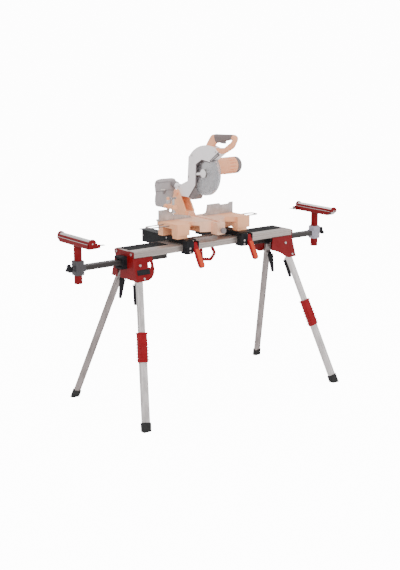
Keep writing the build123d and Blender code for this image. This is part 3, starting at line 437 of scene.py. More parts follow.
DARK_PLASTIC = Finish("dark_grey_plastic", (0.20, 0.17, 0.17), "dark_plastic", 0.5, scale=1300, depth=0.12,
                      contrast=0.15, specular=0.3)
GRIP_RUBBER = Finish("soft_grip", (0.18, 0.14, 0.135), "dark_plastic", 0.7, scale=2600, depth=0.3, contrast=0.2,
                     specular=0.3)
CLEAR = Finish("clear_guard_plastic", (0.90, 0.90, 0.92), "clear_guard", 0.14, scale=300, depth=0.02, contrast=0.02,
               clear=0.85, dust=0.02, edge_wear_and_highlight_share=0.05)
BLADE_STEEL = Finish("blade_steel", (0.60, 0.58, 0.59), "zinc", 0.3, 0.9, Pattern.TURNED, 5200, 0.05, 0.08,
                     turn=(0.0, math.pi / 2, 0.0))
BAG_CLOTH = Finish("bag_cloth", (0.26, 0.215, 0.215), "bag_cloth", 0.85, 0.0, Pattern.WEAVE, 3600, 0.35, 0.16,
                   edge=0.1, edge_wear_and_highlight_share=0.0, sheen=0.25, specular=0.2)
BAG_TAPE = replace(BAG_CLOTH, name="bag_edge_tape", colour=(0.16, 0.135, 0.135), scale=5200)
BAG_TAG = replace(BAG_CLOTH, name="pale_bag_tag", colour=(0.70, 0.62, 0.58), scale=5200)
FENCE_METAL = replace(ALUMINIUM, name="fence_casting", colour=(0.50, 0.47, 0.46), pattern=Pattern.CAST, scale=500,
                      stretch=(1.0, 1.0, 1.0), depth=0.12)
MARKING = Finish("scale_marking", (0.12, 0.10, 0.10), "black_plastic", 0.5, edge=0.1)
FLOOR = Finish("studio_floor", (0.92, 0.92, 0.92), "aluminium", 0.8, scale=60, depth=0.02, contrast=0.01, dust=0.0,
               edge=0.1, edge_wear_and_highlight_share=0.0, glow=12.0)


# ---------------------------------------------------------------- surfaces

@dataclass
class Surface:
    """Points in millimetres and the faces that join them."""

    points: np.ndarray
    faces: list[list[int]]

    def plus(self, other: "Surface") -> "Surface":
        """Both surfaces as one, with the other's faces renumbered."""
        offset = len(self.points)
        moved = [[index + offset for index in face] for face in other.faces]
        return Surface(np.vstack([self.points, other.points]), self.faces + moved)

    def turned_half_round(self) -> "Surface":
        """The surface turned half round about the vertical axis under the beam's middle."""
        return Surface(self.points * np.array([-1.0, -1.0, 1.0]), self.faces)


def grid_surface(points: np.ndarray, closed_rows: bool, closed_ends: bool) -> Surface:
    """Joins a grid of points into quads; every row is closed round.

    Args:
        points: rows by columns by 3.
        closed_rows: whether the last row joins the first, as in a ring.
        closed_ends: whether the first and last rows are filled.

    Returns:
        The surface.
    """
    rows, columns = points.shape[:2]
    index = np.arange(rows * columns).reshape(rows, columns)
    index = np.hstack([index, index[:, :1]])
    if closed_rows:
        index = np.vstack([index, index[:1]])
    quads = np.stack([index[:-1, :-1], index[:-1, 1:], index[1:, 1:], index[1:, :-1]], axis=-1)
    faces = quads.reshape(-1, 4).tolist()
    if closed_ends:
        faces += [index[0, :-1][::-1].tolist(), index[-1, :-1].tolist()]
    return Surface(points.reshape(-1, 3), faces)


def superellipse(half_width: float, half_height: float, exponent: float, count: int = 32) -> np.ndarray:
    """Points round |x/a|^n + |y/b|^n = 1, evenly spaced in angle.

    Args:
        half_width: a.
        half_height: b.
        exponent: n; 2 is an ellipse and more is boxier.
        count: how many points.

    Returns:
        An array of (x, y).
    """
    angle = np.linspace(0, 2 * math.pi, count, endpoint=False)
    cosine, sine = np.cos(angle), np.sin(angle)
    power = 2 / exponent
    return np.stack([half_width * np.sign(cosine) * np.abs(cosine) ** power,
                     half_height * np.sign(sine) * np.abs(sine) ** power], axis=1)


def sweep(path: np.ndarray, across: Point, sections: np.ndarray, closed: bool = False) -> Surface:
    """Carries a section along a path. A point is the path's point plus the section's x times the
    fixed direction across, plus its y times the unit cross product of the path's direction and across.

    Args:
        path: n points.
        across: a fixed direction square to the path.
        sections: m points of (x, y), or one such set for each of the n points.
        closed: whether the path is a ring.

    Returns:
        The surface, with filled ends unless it is a ring.
    """
    fixed = np.array(across, float)
    if closed:
        tangent = np.roll(path, -1, axis=0) - np.roll(path, 1, axis=0)
    else:
        tangent = np.gradient(path, axis=0)
    lift = np.cross(tangent, fixed)
    lift /= np.linalg.norm(lift, axis=1, keepdims=True)
    shaped = np.broadcast_to(sections, (len(path), *sections.shape[-2:]))
    points = path[:, None] + shaped[..., :1] * fixed + shaped[..., 1:] * lift[:, None]
    return grid_surface(points, closed, not closed)


def smooth_line(corners: Sequence[Sequence[float]], count: int, closed: bool = False) -> np.ndarray:
    """A Catmull-Rom curve through corners: between two of them it is the cubic whose slope at each
    is half the step from the corner before to the corner after.

    Args:
        corners: the points it passes through.
        count: points per span.
        closed: whether it is a ring.

    Returns:
        An array of points.
    """
    points = np.array(corners, float)
    if closed:
        padded = np.vstack([points[-1:], points, points[:2]])
    else:
        padded = np.vstack([2 * points[0] - points[1], points, 2 * points[-1] - points[-2]])
    before, start, end, after = padded[:-3], padded[1:-2], padded[2:-1], padded[3:]
    t = np.linspace(0, 1, count, endpoint=False)[None, :, None]
    before, start, end, after = (p[:, None] for p in (before, start, end, after))
    curve = 0.5 * (2 * start + (end - before) * t + (2 * before - 5 * start + 4 * end - after) * t ** 2
                   + (3 * start - before - 3 * end + after) * t ** 3)
    line = curve.reshape(-1, points.shape[1])
    return line if closed else np.vstack([line, points[-1:]])


def rounded_outline(corners: Sequence[Corner], radius: float, steps: int = 5) -> np.ndarray:
    """A closed outline whose corners are parabolic arcs: (1-t)^2 p + 2t(1-t) corner + t^2 q, where p
    and q are on the two sides, a radius (or 0.45 of a short side) from the corner.

    Args:
        corners: the outline's corners.
        radius: how far from each corner the arc starts.
        steps: points per arc.

    Returns:
        An array of (x, y).
    """
    points = np.array(corners, float)
    back = np.roll(points, 1, axis=0) - points
    ahead = np.roll(points, -1, axis=0) - points
    back_length = np.linalg.norm(back, axis=1, keepdims=True)
    ahead_length = np.linalg.norm(ahead, axis=1, keepdims=True)
    start = points + back / back_length * np.minimum(radius, 0.45 * back_length)
    end = points + ahead / ahead_length * np.minimum(radius, 0.45 * ahead_length)
    t = np.linspace(0, 1, steps)[None, :, None]
    arcs = (1 - t) ** 2 * start[:, None] + 2 * t * (1 - t) * points[:, None] + t ** 2 * end[:, None]
    return arcs.reshape(-1, 2)


class Lie(Enum):
    """The plane an outline is drawn in: the axes of its two coordinates and of its thickness."""

    YZ = (1, 2, 0)


def slab(outline: np.ndarray, low: float, high: float, edge: float, lie: Lie) -> Surface:
    """A plate with quarter-round edges. Its rings are the outline moved inwards by edge (1 - sin t)
    at a depth of edge (1 - cos t) from each face.

    Args:
        outline: closed (x, y) points.
        low: where the plate starts, on its thickness axis.
        high: where it ends.
        edge: the edge's radius.
        lie: the outline's plane.

    Returns:
        The surface.
    """
    ahead = np.roll(outline, -1, axis=0) - outline
    ahead /= np.linalg.norm(ahead, axis=1, keepdims=True) + 1e-9
    tangent = ahead + np.roll(ahead, 1, axis=0)
    tangent /= np.linalg.norm(tangent, axis=1, keepdims=True) + 1e-9
    x, y = outline[:, 0], outline[:, 1]
    area = np.sum(x * np.roll(y, -1) - np.roll(x, -1) * y)
    inward = np.stack([-tangent[:, 1], tangent[:, 0]], axis=1) * np.sign(area)
    t = np.linspace(0, math.pi / 2, 5)
    inset = np.concatenate([edge * (1 - np.sin(t)), (edge * (1 - np.sin(t)))[::-1]])
    depth = np.concatenate([low + edge * (1 - np.cos(t)), high - (edge * (1 - np.cos(t)))[::-1]])
    points = np.zeros((len(inset), len(outline), 3))
    points[..., [lie.value[0], lie.value[1]]] = outline[None] + inset[:, None, None] * inward[None]
    points[..., lie.value[2]] = depth[:, None]
    return grid_surface(points, False, True)


def lathe(profile: Sequence[Corner], origin: Point, axis: Point, columns: int = 72,
          shape: Optional[Callable[[np.ndarray, np.ndarray], np.ndarray]] = None) -> Surface:
    """A turned shape: each profile row is a circle of its radius at its distance along the axis. A
    shape function may scale the radius by distance and angle.

    Args:
        profile: rows of (distance, radius).
        origin: where distance is 0.
        axis: the direction of the axis.
        columns: points round each circle.
        shape: gives the factor for arrays of distance and angle.

    Returns:
        The surface.
    """
    rows = np.array(profile, float)
    direction = np.array(axis, float) / np.linalg.norm(axis)
    helper = np.array([0.0, 0.0, 1.0]) if abs(direction[2]) < 0.9 else np.array([0.0, 1.0, 0.0])
    side = np.cross(direction, helper)
    side /= np.linalg.norm(side)
    up = np.cross(side, direction)
    angle = np.linspace(0, 2 * math.pi, columns, endpoint=False)[None, :]
    radius = np.repeat(rows[:, 1:], columns, axis=1)
    if shape is not None:
        radius = radius * shape(rows[:, :1], angle)
    points = (np.array(origin, float) + rows[:, :1, None] * direction
              + radius[..., None] * (np.cos(angle)[..., None] * side + np.sin(angle)[..., None] * up))
    return grid_surface(points, False, True)


def fine_profile(profile: Sequence[Corner], step: float) -> np.ndarray:
    """The profile with rows added so that none are further apart than a step."""
    rows = np.array(profile, float)
    length = np.concatenate([[0], np.cumsum(np.linalg.norm(np.diff(rows, axis=0), axis=1))])
    count = max(2, int(length[-1] / step))
    at = np.union1d(np.linspace(0, length[-1], count), length)
    return np.stack([np.interp(at, length, rows[:, 0]), np.interp(at, length, rows[:, 1])], axis=1)


def boxes(centres: np.ndarray, across: np.ndarray, along: np.ndarray, half: Point) -> Surface:
    """Many small blocks, each its centre plus or minus half sizes along three square directions.

    Args:
        centres: n points.
        across: n unit directions.
        along: n unit directions square to them.
        half: half sizes across, along and on the third direction.

    Returns:
        The surface.
    """
    third = np.cross(across, along)
    signs = np.array([[-1, -1, -1], [1, -1, -1], [1, 1, -1], [-1, 1, -1],
                      [-1, -1, 1], [1, -1, 1], [1, 1, 1], [-1, 1, 1]], float) * np.array(half)
    points = (centres[:, None] + signs[None, :, :1] * across[:, None] + signs[None, :, 1:2] * along[:, None]
              + signs[None, :, 2:] * third[:, None])
    cube = np.array([[0, 3, 2, 1], [4, 5, 6, 7], [0, 1, 5, 4], [1, 2, 6, 5], [2, 3, 7, 6], [3, 0, 4, 7]])
    faces = (cube[None] + 8 * np.arange(len(centres))[:, None, None]).reshape(-1, 4).tolist()
    return Surface(points.reshape(-1, 3), faces)


# ---------------------------------------------------------------- the workshop

class Workshop:
    """Makes pieces in the frame and gives them their finish, body and CAD nodes."""

    def __init__(self) -> None:
        """Loads the frame; the beam's middle is where the drawing's origin stands."""
        self.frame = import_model()
        self.cad_box = [list(corner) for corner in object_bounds()]
        low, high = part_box("beam")
        self.datum = np.array([(low.x + high.x) / 2, (low.y + high.y) / 2, 0.0])
        self.groups = EffectGroups()

    def place(self, points: np.ndarray) -> np.ndarray:
        """Millimetres on the drawing as metres in the frame."""
        return np.asarray(points, float) * MM + self.datum

    def piece(self, name: str, surface: Surface, finish: Finish, body: str, stands_for: Sequence[str] = (),
              sharp: float = 40.0) -> bpy.types.Object:
        """Makes one visible piece.

        Args:
            name: its name.
            surface: its shape in millimetres.
            finish: its finish.
            body: the CAD body it rides on.
            stands_for: the CAD nodes that it is shown in place of.
            sharp: edges that bend more than this many degrees stay crisp.

        Returns:
            The object.
        """
        mesh = bpy.data.meshes.new(name)
        mesh.from_pydata(self.place(surface.points).tolist(), [], surface.faces)
        work = bmesh.new()
        work.from_mesh(mesh)
        bmesh.ops.remove_doubles(work, verts=work.verts, dist=1e-6)
        bmesh.ops.recalc_face_normals(work, faces=work.faces)
        work.to_mesh(mesh)
        work.free()
        mesh.polygons.foreach_set("use_smooth", np.ones(len(mesh.polygons), bool))
        mesh.set_sharp_from_angle(angle=math.radians(sharp))
        piece = bpy.data.objects.new(name, mesh)
        bpy.context.scene.collection.objects.link(piece)
        mesh.materials.append(finish.build(self.groups))
        self.attach(piece, body, stands_for)
        return piece

    def attach(self, piece: bpy.types.Object, body: str, stands_for: Sequence[str]) -> None:
        """Rides a piece on its body and hides the CAD nodes it stands for."""
        attach(piece, body)
        if stands_for:
            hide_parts(*stands_for)
        LOG.info("%s: %d faces on %s", piece.name, len(piece.data.polygons), body)

    def dress(self, finish: Finish, *nodes: str) -> None:
        """Gives CAD nodes a finish."""
        material = finish.build(self.groups)
        for node in nodes:
            part = self.frame["nodes"][node]
            if not part.material_slots:
                part.data.materials.append(material)
            for held in part.material_slots:
                held.material = material
        LOG.info("%s on %s", finish.name, ", ".join(nodes))


LEG_NAMES = ("front_left", "front_right", "rear_left", "rear_right")
SIDES = {"left": -1.0, "right": 1.0}


@dataclass
class Stand:
    """The beam, its brackets, handles and trays."""

    foot: Point = (604.0, 315.0, 0.0)
    pivots: dict[str, Point] = field(default_factory=lambda: {
        "front_left": (-469.0, -72.5, 724.0), "front_right": (450.0, -72.5, 724.0),
        "rear_left": (-450.0, 72.5, 724.0), "rear_right": (469.0, 72.5, 724.0)})

    def dress(self, shop: Workshop) -> None:
        """Gives the stand's CAD nodes their finishes."""
        shop.dress(DECK, "beam")
        shop.dress(BLACK_PLASTIC, "beam_trays", "nameplates", "arm_guides")
        shop.dress(RED_PAINT, "left_bracket", "right_bracket")
        shop.dress(RED_PLASTIC, "carry_handle")
        shop.dress(BOLT_ZINC, "bracket_fasteners")

    def leg_turn(self, name: str) -> Point:
        """The turn that lays a leg's length along the pattern's Z."""
        pivot = Vector(self.pivots[name])
        foot = Vector((math.copysign(self.foot[0], pivot.x), math.copysign(self.foot[1], pivot.y), 0.0))
        return tuple((pivot - foot).rotation_difference(Vector((0, 0, 1))).to_euler())

    def dress_legs(self, shop: Workshop) -> None:
        """Gives the legs lengthwise drawn aluminium, lighter on the front legs and darker on the rear ones as painted
        light and shade, and their fittings.
        """
        for name in LEG_NAMES:
            # Painted light and shade: the front legs get a lighter, lit copy of the aluminium and the rear legs a
            # darker, shaded one.
            tone = (0.56, 0.52, 0.51) if name.startswith("front") else (0.30, 0.255, 0.245)
            drawn = replace(ALUMINIUM, name=f"leg_aluminium_{name}", colour=tone, stretch=ALONG_LEG,
                            turn=self.leg_turn(name))
            shop.dress(drawn, f"{name}_leg")
            shop.dress(BLACK_PLASTIC, f"{name}_lever")
            shop.dress(RUBBER, f"{name}_foot")
            if name.startswith("front"):
                shop.dress(drawn, f"{name}_extension")
                shop.dress(RED_PLASTIC, f"{name}_sleeve")

    def build(self, shop: Workshop) -> None:
        """Makes the grip ridges round the front legs' sleeves."""
        for name in ("front_left", "front_right"):
            pivot, foot = np.array(self.pivots[name]), np.array(self.foot)
            foot[:2] = np.copysign(foot[:2], pivot[:2])
            along = (foot - pivot) / np.linalg.norm(foot - pivot)
            across = np.cross(along, [0.0, math.copysign(1.0, pivot[1]), 0.0])
            across /= np.linalg.norm(across)
            centres = pivot + along * np.linspace(372.0, 444.0, 6)[:, None]
            ridges = boxes(centres, np.tile(across, (6, 1)), np.tile(along, (6, 1)), (24.0, 2.0, 17.6))
            shop.piece(f"{name}_sleeve_ridges", ridges, RED_PLASTIC, f"{name}_extension")


@dataclass
class Supports:
    """The two sliding arms with their posts, knobs and rollers."""

    post_x: dict[str, float] = field(default_factory=lambda: {"left": 758.0, "right": 734.0})
    knob_z: float = 742.0
    knob_start: float = 32.5
    knob_length: float = 27.0
    knob_radius: float = 16.2

    def dress(self, shop: Workshop) -> None:
        """Gives the supports' CAD nodes their finishes."""
        for side in SIDES:
            shop.dress(ARM_STEEL, f"{side}_arm")
            shop.dress(RED_PAINT, f"{side}_support_head")
            shop.dress(ZINC, f"{side}_roller", f"{side}_stop")

    def knob_surface(self, side: str) -> Surface:
        """A knob of three lobes: its radius is a turned profile times 1 + 0.4 cos(3 angle), faded
        to a round neck at the block."""
        length, radius = self.knob_length, self.knob_radius
        profile = fine_profile(((0, 0), (0, 9), (5, 9.2), (8, radius - 1), (10, radius), (length - 6, radius),
                                (length - 2, radius - 2), (length, radius - 7), (length, 0)), 1.5)

        def lobes(distance: np.ndarray, angle: np.ndarray) -> np.ndarray:
            """Three lobes that start past the neck."""
            return 1 + 0.40 * np.clip((distance - 5) / 4, 0, 1) * np.cos(3 * angle - math.pi / 2 * 3)

        start = (self.post_x[side] + self.knob_start, 0, self.knob_z)
        surface = lathe(profile, start, (1, 0, 0), 96, lobes)
        return surface if side == "right" else surface.turned_half_round()

    def build(self, shop: Workshop) -> None:
        """Makes both knobs."""
        for side in SIDES:
            shop.piece(f"{side}_lobed_knob", self.knob_surface(side), BLACK_PLASTIC, f"{side}_knob",
                       (f"{side}_knob",), 60)
            # The left block takes the darker copy as painted shade; the right one keeps the plain cast grey.
            cast = SHADED_CAST_BLOCK if side == "left" else CAST_BLOCK
            shop.piece(f"{side}_cast_block", self.block_surface(side), cast, f"{side}_arm", (f"{side}_clamp_block",))
            # Painted highlight: bright zinc strips along each tray's walls stand for the light caught on their bent
            # ledges.
            shop.piece(f"{side}_tray_highlight_strips", self.highlight_strip_surface(side), ZINC, f"{side}_post")

    def block_surface(self, side: str) -> Surface:
        """The clamp block: a boxy casting round the post with two thin ribs, a socket for the arm and
        a boss for the knob's stud."""
        x = self.post_x[side]
        z = np.array([709, 711, 724, 726, 729, 731, 753, 755, 758, 760, 774, 777], float)
        swell = np.array([0.93, 1, 1, 1.04, 1.04, 1, 1, 1.04, 1.04, 1, 1, 0.93])
        unit = superellipse(23.5, 24.5, 5.5, 48)
        points = np.zeros((len(z), len(unit), 3))
        points[..., :2] = unit[None] * swell[:, None, None] + np.array([x, 0.0])
        points[..., 2] = z[:, None]
        socket = rounded_outline(((-20.5, 725), (20.5, 725), (20.5, 755), (-20.5, 755)), 5)
        boss = lathe(((0, 0), (0, 11.5), (10, 11.5), (11.5, 10), (11.5, 0)), (x + 21, 0, self.knob_z),
                     (1, 0, 0))
        surface = grid_surface(points, False, True).plus(slab(socket, x - 33, x - 18, 1.5, Lie.YZ)).plus(boss)
        return surface if side == "right" else surface.turned_half_round()

    def highlight_strip_surface(self, side: str) -> Surface:
        """Bright zinc strips along a tray's two walls: a painted highlight standing for the light caught on the
        walls' bent ledges.
        """
        centres = np.array([[self.post_x[side] + wall, -8.0, 872.4] for wall in (-22.4, 22.4)])
        surface = boxes(centres, np.tile([1.0, 0.0, 0.0], (2, 1)), np.tile([0.0, 1.0, 0.0], (2, 1)),
                        (1.9, 132.0, 1.0))
        return surface if side == "right" else surface.turned_half_round()


@dataclass
class Carriage:
    """The saw's rails, clamp levers, base and table fittings."""

    rail_x: dict[str, float] = field(default_factory=lambda: {"left": -174.0, "right": 167.0})
    table_top: float = 891.0
    turn_y: float = 60.0
    fence_y: float = 80.0

    def dress(self, shop: Workshop) -> None:
        """Gives the carriage's CAD nodes their finishes."""
        centre = shop.datum * np.array([1.0, 1.0, 0.0]) + np.array([0.0, self.turn_y * MM, 0.0])
        rings = replace(TABLE, shift=tuple(-centre))
        shop.dress(BLACK_STEEL, "saw_rails", "rail_jaws")
        shop.dress(BOLT_ZINC, "rail_bolts")
        shop.dress(WIRE_ZINC, "left_wire", "right_wire")
        shop.dress(SAW_CASTING, "saw_base", "work_clamp")
        shop.dress(rings, "turntable")
        shop.dress(FENCE_METAL, "fence")

    def lever_surface(self, side: str) -> Surface:
        """A wide flat lever carried down from its cam hub; it widens towards its rounded tip."""
        path = smooth_line([(0, -99, 796), (0, -110, 778), (0, -124, 754), (0, -138, 730), (0, -152, 706),
                            (0, -161, 690)], 6)
        path[:, 0] += self.rail_x[side] + 18
        share = np.linspace(0, 1, len(path))
        thick = 8.5 - 1.5 * np.sin(share * math.pi / 1.3)
        width = 12.2 + 6.0 * np.clip(share / 0.5, 0, 1)
        rounding = np.sqrt(1 - 0.75 * np.clip((share - 0.82) / 0.18, 0, 1) ** 2)
        width = width * rounding
        unit = superellipse(1, 1, 4.0, 28)
        sections = unit[None] * np.stack([width, thick], axis=1)[:, None]
        hub_x = self.rail_x[side] + 5.5
        hub = lathe(((0, 0), (0, 9.5), (1.5, 11), (23.5, 11), (25, 9.5), (25, 0)), (hub_x, -98, 797), (1, 0, 0))
        return sweep(path, (1, 0, 0), sections).plus(hub)

    def lever_face(self, side: str) -> Surface:
        """The raised orange face along a lever's operator side."""
        path = smooth_line([(0, -120, 776), (0, -131, 757), (0, -143, 736), (0, -155, 715), (0, -163, 701),
                            (0, -167, 694)], 6)
        path[:, 0] += self.rail_x[side] + 18
        share = np.linspace(0, 1, len(path))
        width = (10.5 + 2.5 * share) * np.sqrt(1 - 0.75 * np.clip((share - 0.8) / 0.2, 0, 1) ** 2)
        unit = superellipse(1, 1, 4.0, 24)
        sections = unit[None] * np.stack([width, np.full_like(width, 2.2)], axis=1)[:, None]
        return sweep(path, (1, 0, 0), sections)

    def tick_marks(self) -> Surface:
        """The mitre scale: a mark every 5 degrees on a circle about the table's axis."""
        angle = np.radians(np.arange(-45, 46, 5.0))
        radial = np.stack([np.sin(angle), -np.cos(angle), np.zeros_like(angle)], axis=1)
        centres = np.array([0.0, self.turn_y, self.table_top - 0.1]) + radial * 118
        across = np.stack([np.cos(angle), np.sin(angle), np.zeros_like(angle)], axis=1)
        clear = np.abs(centres[:, 0]) > 9
        return boxes(centres[clear], across[clear], radial[clear], (0.5, 5.0, 0.2))

    def fence_marks(self) -> Surface:
        """The rule along the fences' front faces: a mark every 10 mm, longer every 50 mm."""
        x = np.concatenate([np.arange(-230, -48, 10.0), np.arange(70, 226, 10.0)])
        long = np.isclose(x % 50, 0)
        surface = None
        for chosen, half in ((x[long], 5.0), (x[~long], 3.0)):
            centres = np.stack([chosen, np.full_like(chosen, self.fence_y - 0.1),
                                np.full_like(chosen, self.table_top + 1 + half)], axis=1)
            across = np.tile([1.0, 0.0, 0.0], (len(chosen), 1))
            along = np.tile([0.0, 0.0, 1.0], (len(chosen), 1))
            marks = boxes(centres, across, along, (0.35, half, 0.2))
            surface = marks if surface is None else surface.plus(marks)
        return surface

    def mitre_knob_surface(self) -> Surface:
        """A fluted knob: radius times 1 - 0.1 times the positive part of cos(6 angle)."""
        front = self.turn_y - 172.0
        profile = fine_profile(((1.5, 0), (1.5, 7), (6, 8), (9, 12.5), (11, 14.6), (23, 14.6), (25.5, 12), (26, 8),
                                (24.8, 5), (24.8, 0)), 1.2)

        def flutes(distance: np.ndarray, angle: np.ndarray) -> np.ndarray:
            """Six hollows between rounded ribs, on the knob's rim only."""
            rim = np.clip((distance - 8) / 3, 0, 1) * np.clip((26.5 - distance) / 2, 0, 1)
            return 1 - 0.1 * rim * np.clip(np.cos(6 * angle), 0, 1)

        return lathe(profile, (0, front, 850), (0, -1, 0), 96, flutes)

    def build(self, shop: Workshop) -> None:
        """Makes the levers, the scales and the knob."""
        for side in SIDES:
            shop.piece(f"{side}_cam_lever", self.lever_surface(side), RED_PLASTIC, f"{side}_clamp_lever",
                       (f"{side}_clamp_lever",))
            shop.piece(f"{side}_cam_lever_face", self.lever_face(side), ORANGE_PLASTIC, f"{side}_clamp_lever")
        shop.piece("mitre_scale", self.tick_marks(), MARKING, "turntable")
        shop.piece("fence_rule", self.fence_marks(), MARKING, "carriage")
        shop.piece("mitre_lock_knob", self.mitre_knob_surface(), DARK_PLASTIC, "mitre_knob", ("mitre_knob",))


@dataclass
class WorkClamp:
    """The timber clamp behind the left fence."""

    x: float = -168.0
    post_y: float = 101.0
    screw_y: float = 57.0

    def build(self, shop: Workshop) -> None:
        """Makes the bright post, the arm's cap and the screw's grip."""
        shop.dress(ZINC, "work_clamp_screw")
        post = lathe(((0, 0), (0, 7.4), (57.5, 7.4), (57.5, 0)), (self.x, self.post_y, 891.5), (0, 0, 1))
        shop.piece("clamp_post_sleeve", post, ZINC, "carriage")
        cap = lathe(((0, 0), (0, 8.2), (19, 8.2), (21, 6), (21, 0)), (self.x, self.post_y, 970), (0, 0, 1))
        shop.piece("clamp_post_cap", cap, ZINC, "carriage")
        grip = lathe(fine_profile(((0, 0), (0, 3.5), (2, 4.9), (12, 5.3), (17, 5.0), (22, 5.3), (32, 4.9), (34, 3.5),
                                   (34, 0)), 2), (self.x - 17, self.screw_y, 1003), (1, 0, 0), 40)
        shop.piece("clamp_screw_grip", grip, DARK_PLASTIC, "clamp_screw")


@dataclass
class Column:
    """The tilting column and its locks."""

    pivot: Corner = (215.0, 1003.0)
    half: float = 30.0

    def build(self, shop: Workshop) -> None:
        """Dresses the column and makes its pivot caps."""
        shop.dress(SAW_CASTING, "bevel_arm")
        shop.dress(DARK_PLASTIC, "bevel_lever")
        y, z = self.pivot
        profile = fine_profile(((0, 0), (0, 15), (6, 15.6), (9, 13.5), (10, 9), (8, 7.5), (8, 0)), 1.2)

        def ribs(distance: np.ndarray, angle: np.ndarray) -> np.ndarray:
            """Eight shallow ribs round the cap's rim."""
            return 1 + 0.05 * np.clip((distance - 1) / 2, 0, 1) * np.cos(8 * angle)

        for side, sign in SIDES.items():
            cap = lathe(profile, (sign * self.half, y, z), (sign, 0, 0), 96, ribs)
            shop.piece(f"{side}_pivot_cap", cap, SAW_PLASTIC, "bevel_arm")


@dataclass
class SawHead:
    """The guard casting, blade, motor and handle."""

    blade_y: float = 14.0
    blade_z: float = 1118.0
    guard_half: float = 19.0
    motor_y: float = 18.0
    motor_z: float = 1145.0
    motor_radius: float = 43.5
    handle_outer: tuple[Corner, ...] = (
        (11, 1243), (1, 1264), (-36, 1311), (-52, 1316.6), (-120, 1320), (-196, 1324.6), (-220, 1323),
        (-230.5, 1308), (-203, 1261), (-138, 1228), (-80, 1224), (-20, 1239))
    handle_inner: tuple[Corner, ...] = (
        (-54, 1251), (-58, 1259), (-69, 1271), (-76, 1275), (-130, 1288), (-194, 1301.5), (-203, 1303),
        (-200, 1296), (-190, 1288), (-140, 1257), (-100, 1253.5), (-66, 1250))

    def dress(self, shop: Workshop) -> None:
        """Gives the head's CAD nodes their finishes."""
        centre = shop.place(np.array([0.0, self.blade_y, self.blade_z]))
        rotated = (-centre[2], centre[1], centre[0])
        radial = replace(BLADE_STEEL, shift=(-rotated[0], -rotated[1], -rotated[2]))
        shop.dress(GUARD_PAINT, "saw_head")
        shop.dress(CLEAR, "lower_guard")
        shop.dress(radial, "blade")
        shop.dress(ZINC, "blade_arbor")
        shop.dress(DARK_PLASTIC, "trigger")

    def handle_ring(self, proud: float, first: float, last: float) -> Surface:
        """The D handle between its outer and inner outlines: each section is a superellipse whose
        height is half the step from one outline to the other.

        Args:
            proud: how far the surface stands out from the handle's own.
            first: the share of the way round where it starts.
            last: the share where it ends; a whole turn gives a closed ring.

        Returns:
            The surface.
        """
        outer = rounded_outline(self.handle_outer, 15, 8)
        inner = rounded_outline(self.handle_inner, 7, 8)
        count = len(outer)
        whole = last - first >= 1
        chosen = np.arange(int(first * count), int(last * count) + (0 if whole else 1)) % count
        outer, inner = outer[chosen], inner[chosen]
        middle, reach = (outer + inner) / 2, (outer - inner) / 2
        length = np.linalg.norm(reach, axis=1, keepdims=True)
        reach = reach * (length + proud) / length
        section = superellipse(14.2 + proud, 1, 2.7, 36)
        points = np.zeros((len(chosen), len(section), 3))
        points[..., 0] = section[None, :, 0]
        points[..., 1:] = middle[:, None] + section[None, :, 1:] * reach[:, None]
        return grid_surface(points, whole, not whole)

    def motor_surface(self) -> Surface:
        """The motor housing: a turned profile whose radius drops in sixteen slots near the cap and
        rises in four lengthwise ribs."""
        radius = self.motor_radius
        profile = fine_profile(((0, 0), (0, radius), (10, radius), (12, radius - 2.5), (84, radius - 2.5),
                                (87, radius - 0.8), (146, radius - 0.8), (150, radius - 3), (150, 0)), 2.0)

        def vents(distance: np.ndarray, angle: np.ndarray) -> np.ndarray:
            """Slots between 98 and 138 mm from the gear case, and ribs on the plain part."""
            band = np.clip((distance - 98) / 2, 0, 1) * np.clip((138 - distance) / 2, 0, 1)
            slot = np.clip((np.cos(16 * angle) - 0.35) * 6, 0, 1)
            plain = np.clip((distance - 12) / 3, 0, 1) * np.clip((84 - distance) / 3, 0, 1)
            rib = np.clip((np.cos(4 * angle) - 0.985) * 80, 0, 1)
            outer = distance > 0.01
            return np.where(outer, 1 - 0.1 * band * slot + 0.035 * plain * rib, 1.0)

        return lathe(profile, (30, self.motor_y, self.motor_z), (1, 0, 0), 256, vents)

    def cap_surface(self) -> Surface:
        """The end cap: a rounded profile with two ring grooves in its face."""
        r = self.motor_radius - 1
        t = np.linspace(0, math.pi / 2, 10)
        shoulder = np.stack([13 + 20 * np.sin(t), r - 20 + 20 * np.cos(t)], axis=1)
        face = [(33, 19), (31.4, 18), (31.4, 16), (33, 15), (33, 11), (31.4, 10), (31.4, 8), (33, 7), (33, 0)]
        profile = np.vstack([[(0, 0), (0, r)], shoulder, face])

        def grip(distance: np.ndarray, angle: np.ndarray) -> np.ndarray:
            """Fine ribs round the cap's rim."""
            rim = np.clip(distance / 2, 0, 1) * np.clip((14 - distance) / 3, 0, 1)
            return 1 - 0.02 * rim * np.clip(np.cos(36 * angle) * 2, 0, 1)

        return lathe(profile, (180, self.motor_y, self.motor_z), (1, 0, 0), 216, grip)

    def trim_strip(self, x0: float, x1: float) -> Surface:
        """The dark lip along the guard's inner edge: a flat section carried along its corners."""
        path = np.array([(0, -44, 1178), (0, 21, 1184.5), (0, 65.5, 1158.5), (0, 71, 1052),
                         (0, 126, 987.5)], float)
        dense = np.stack([np.interp(np.linspace(0, 4, 41), np.arange(5), path[:, i]) for i in range(3)], axis=1)
        dense[:, 0] = (x0 + x1) / 2
        return sweep(dense, (1, 0, 0), superellipse((x1 - x0) / 2, 2.6, 6, 24))

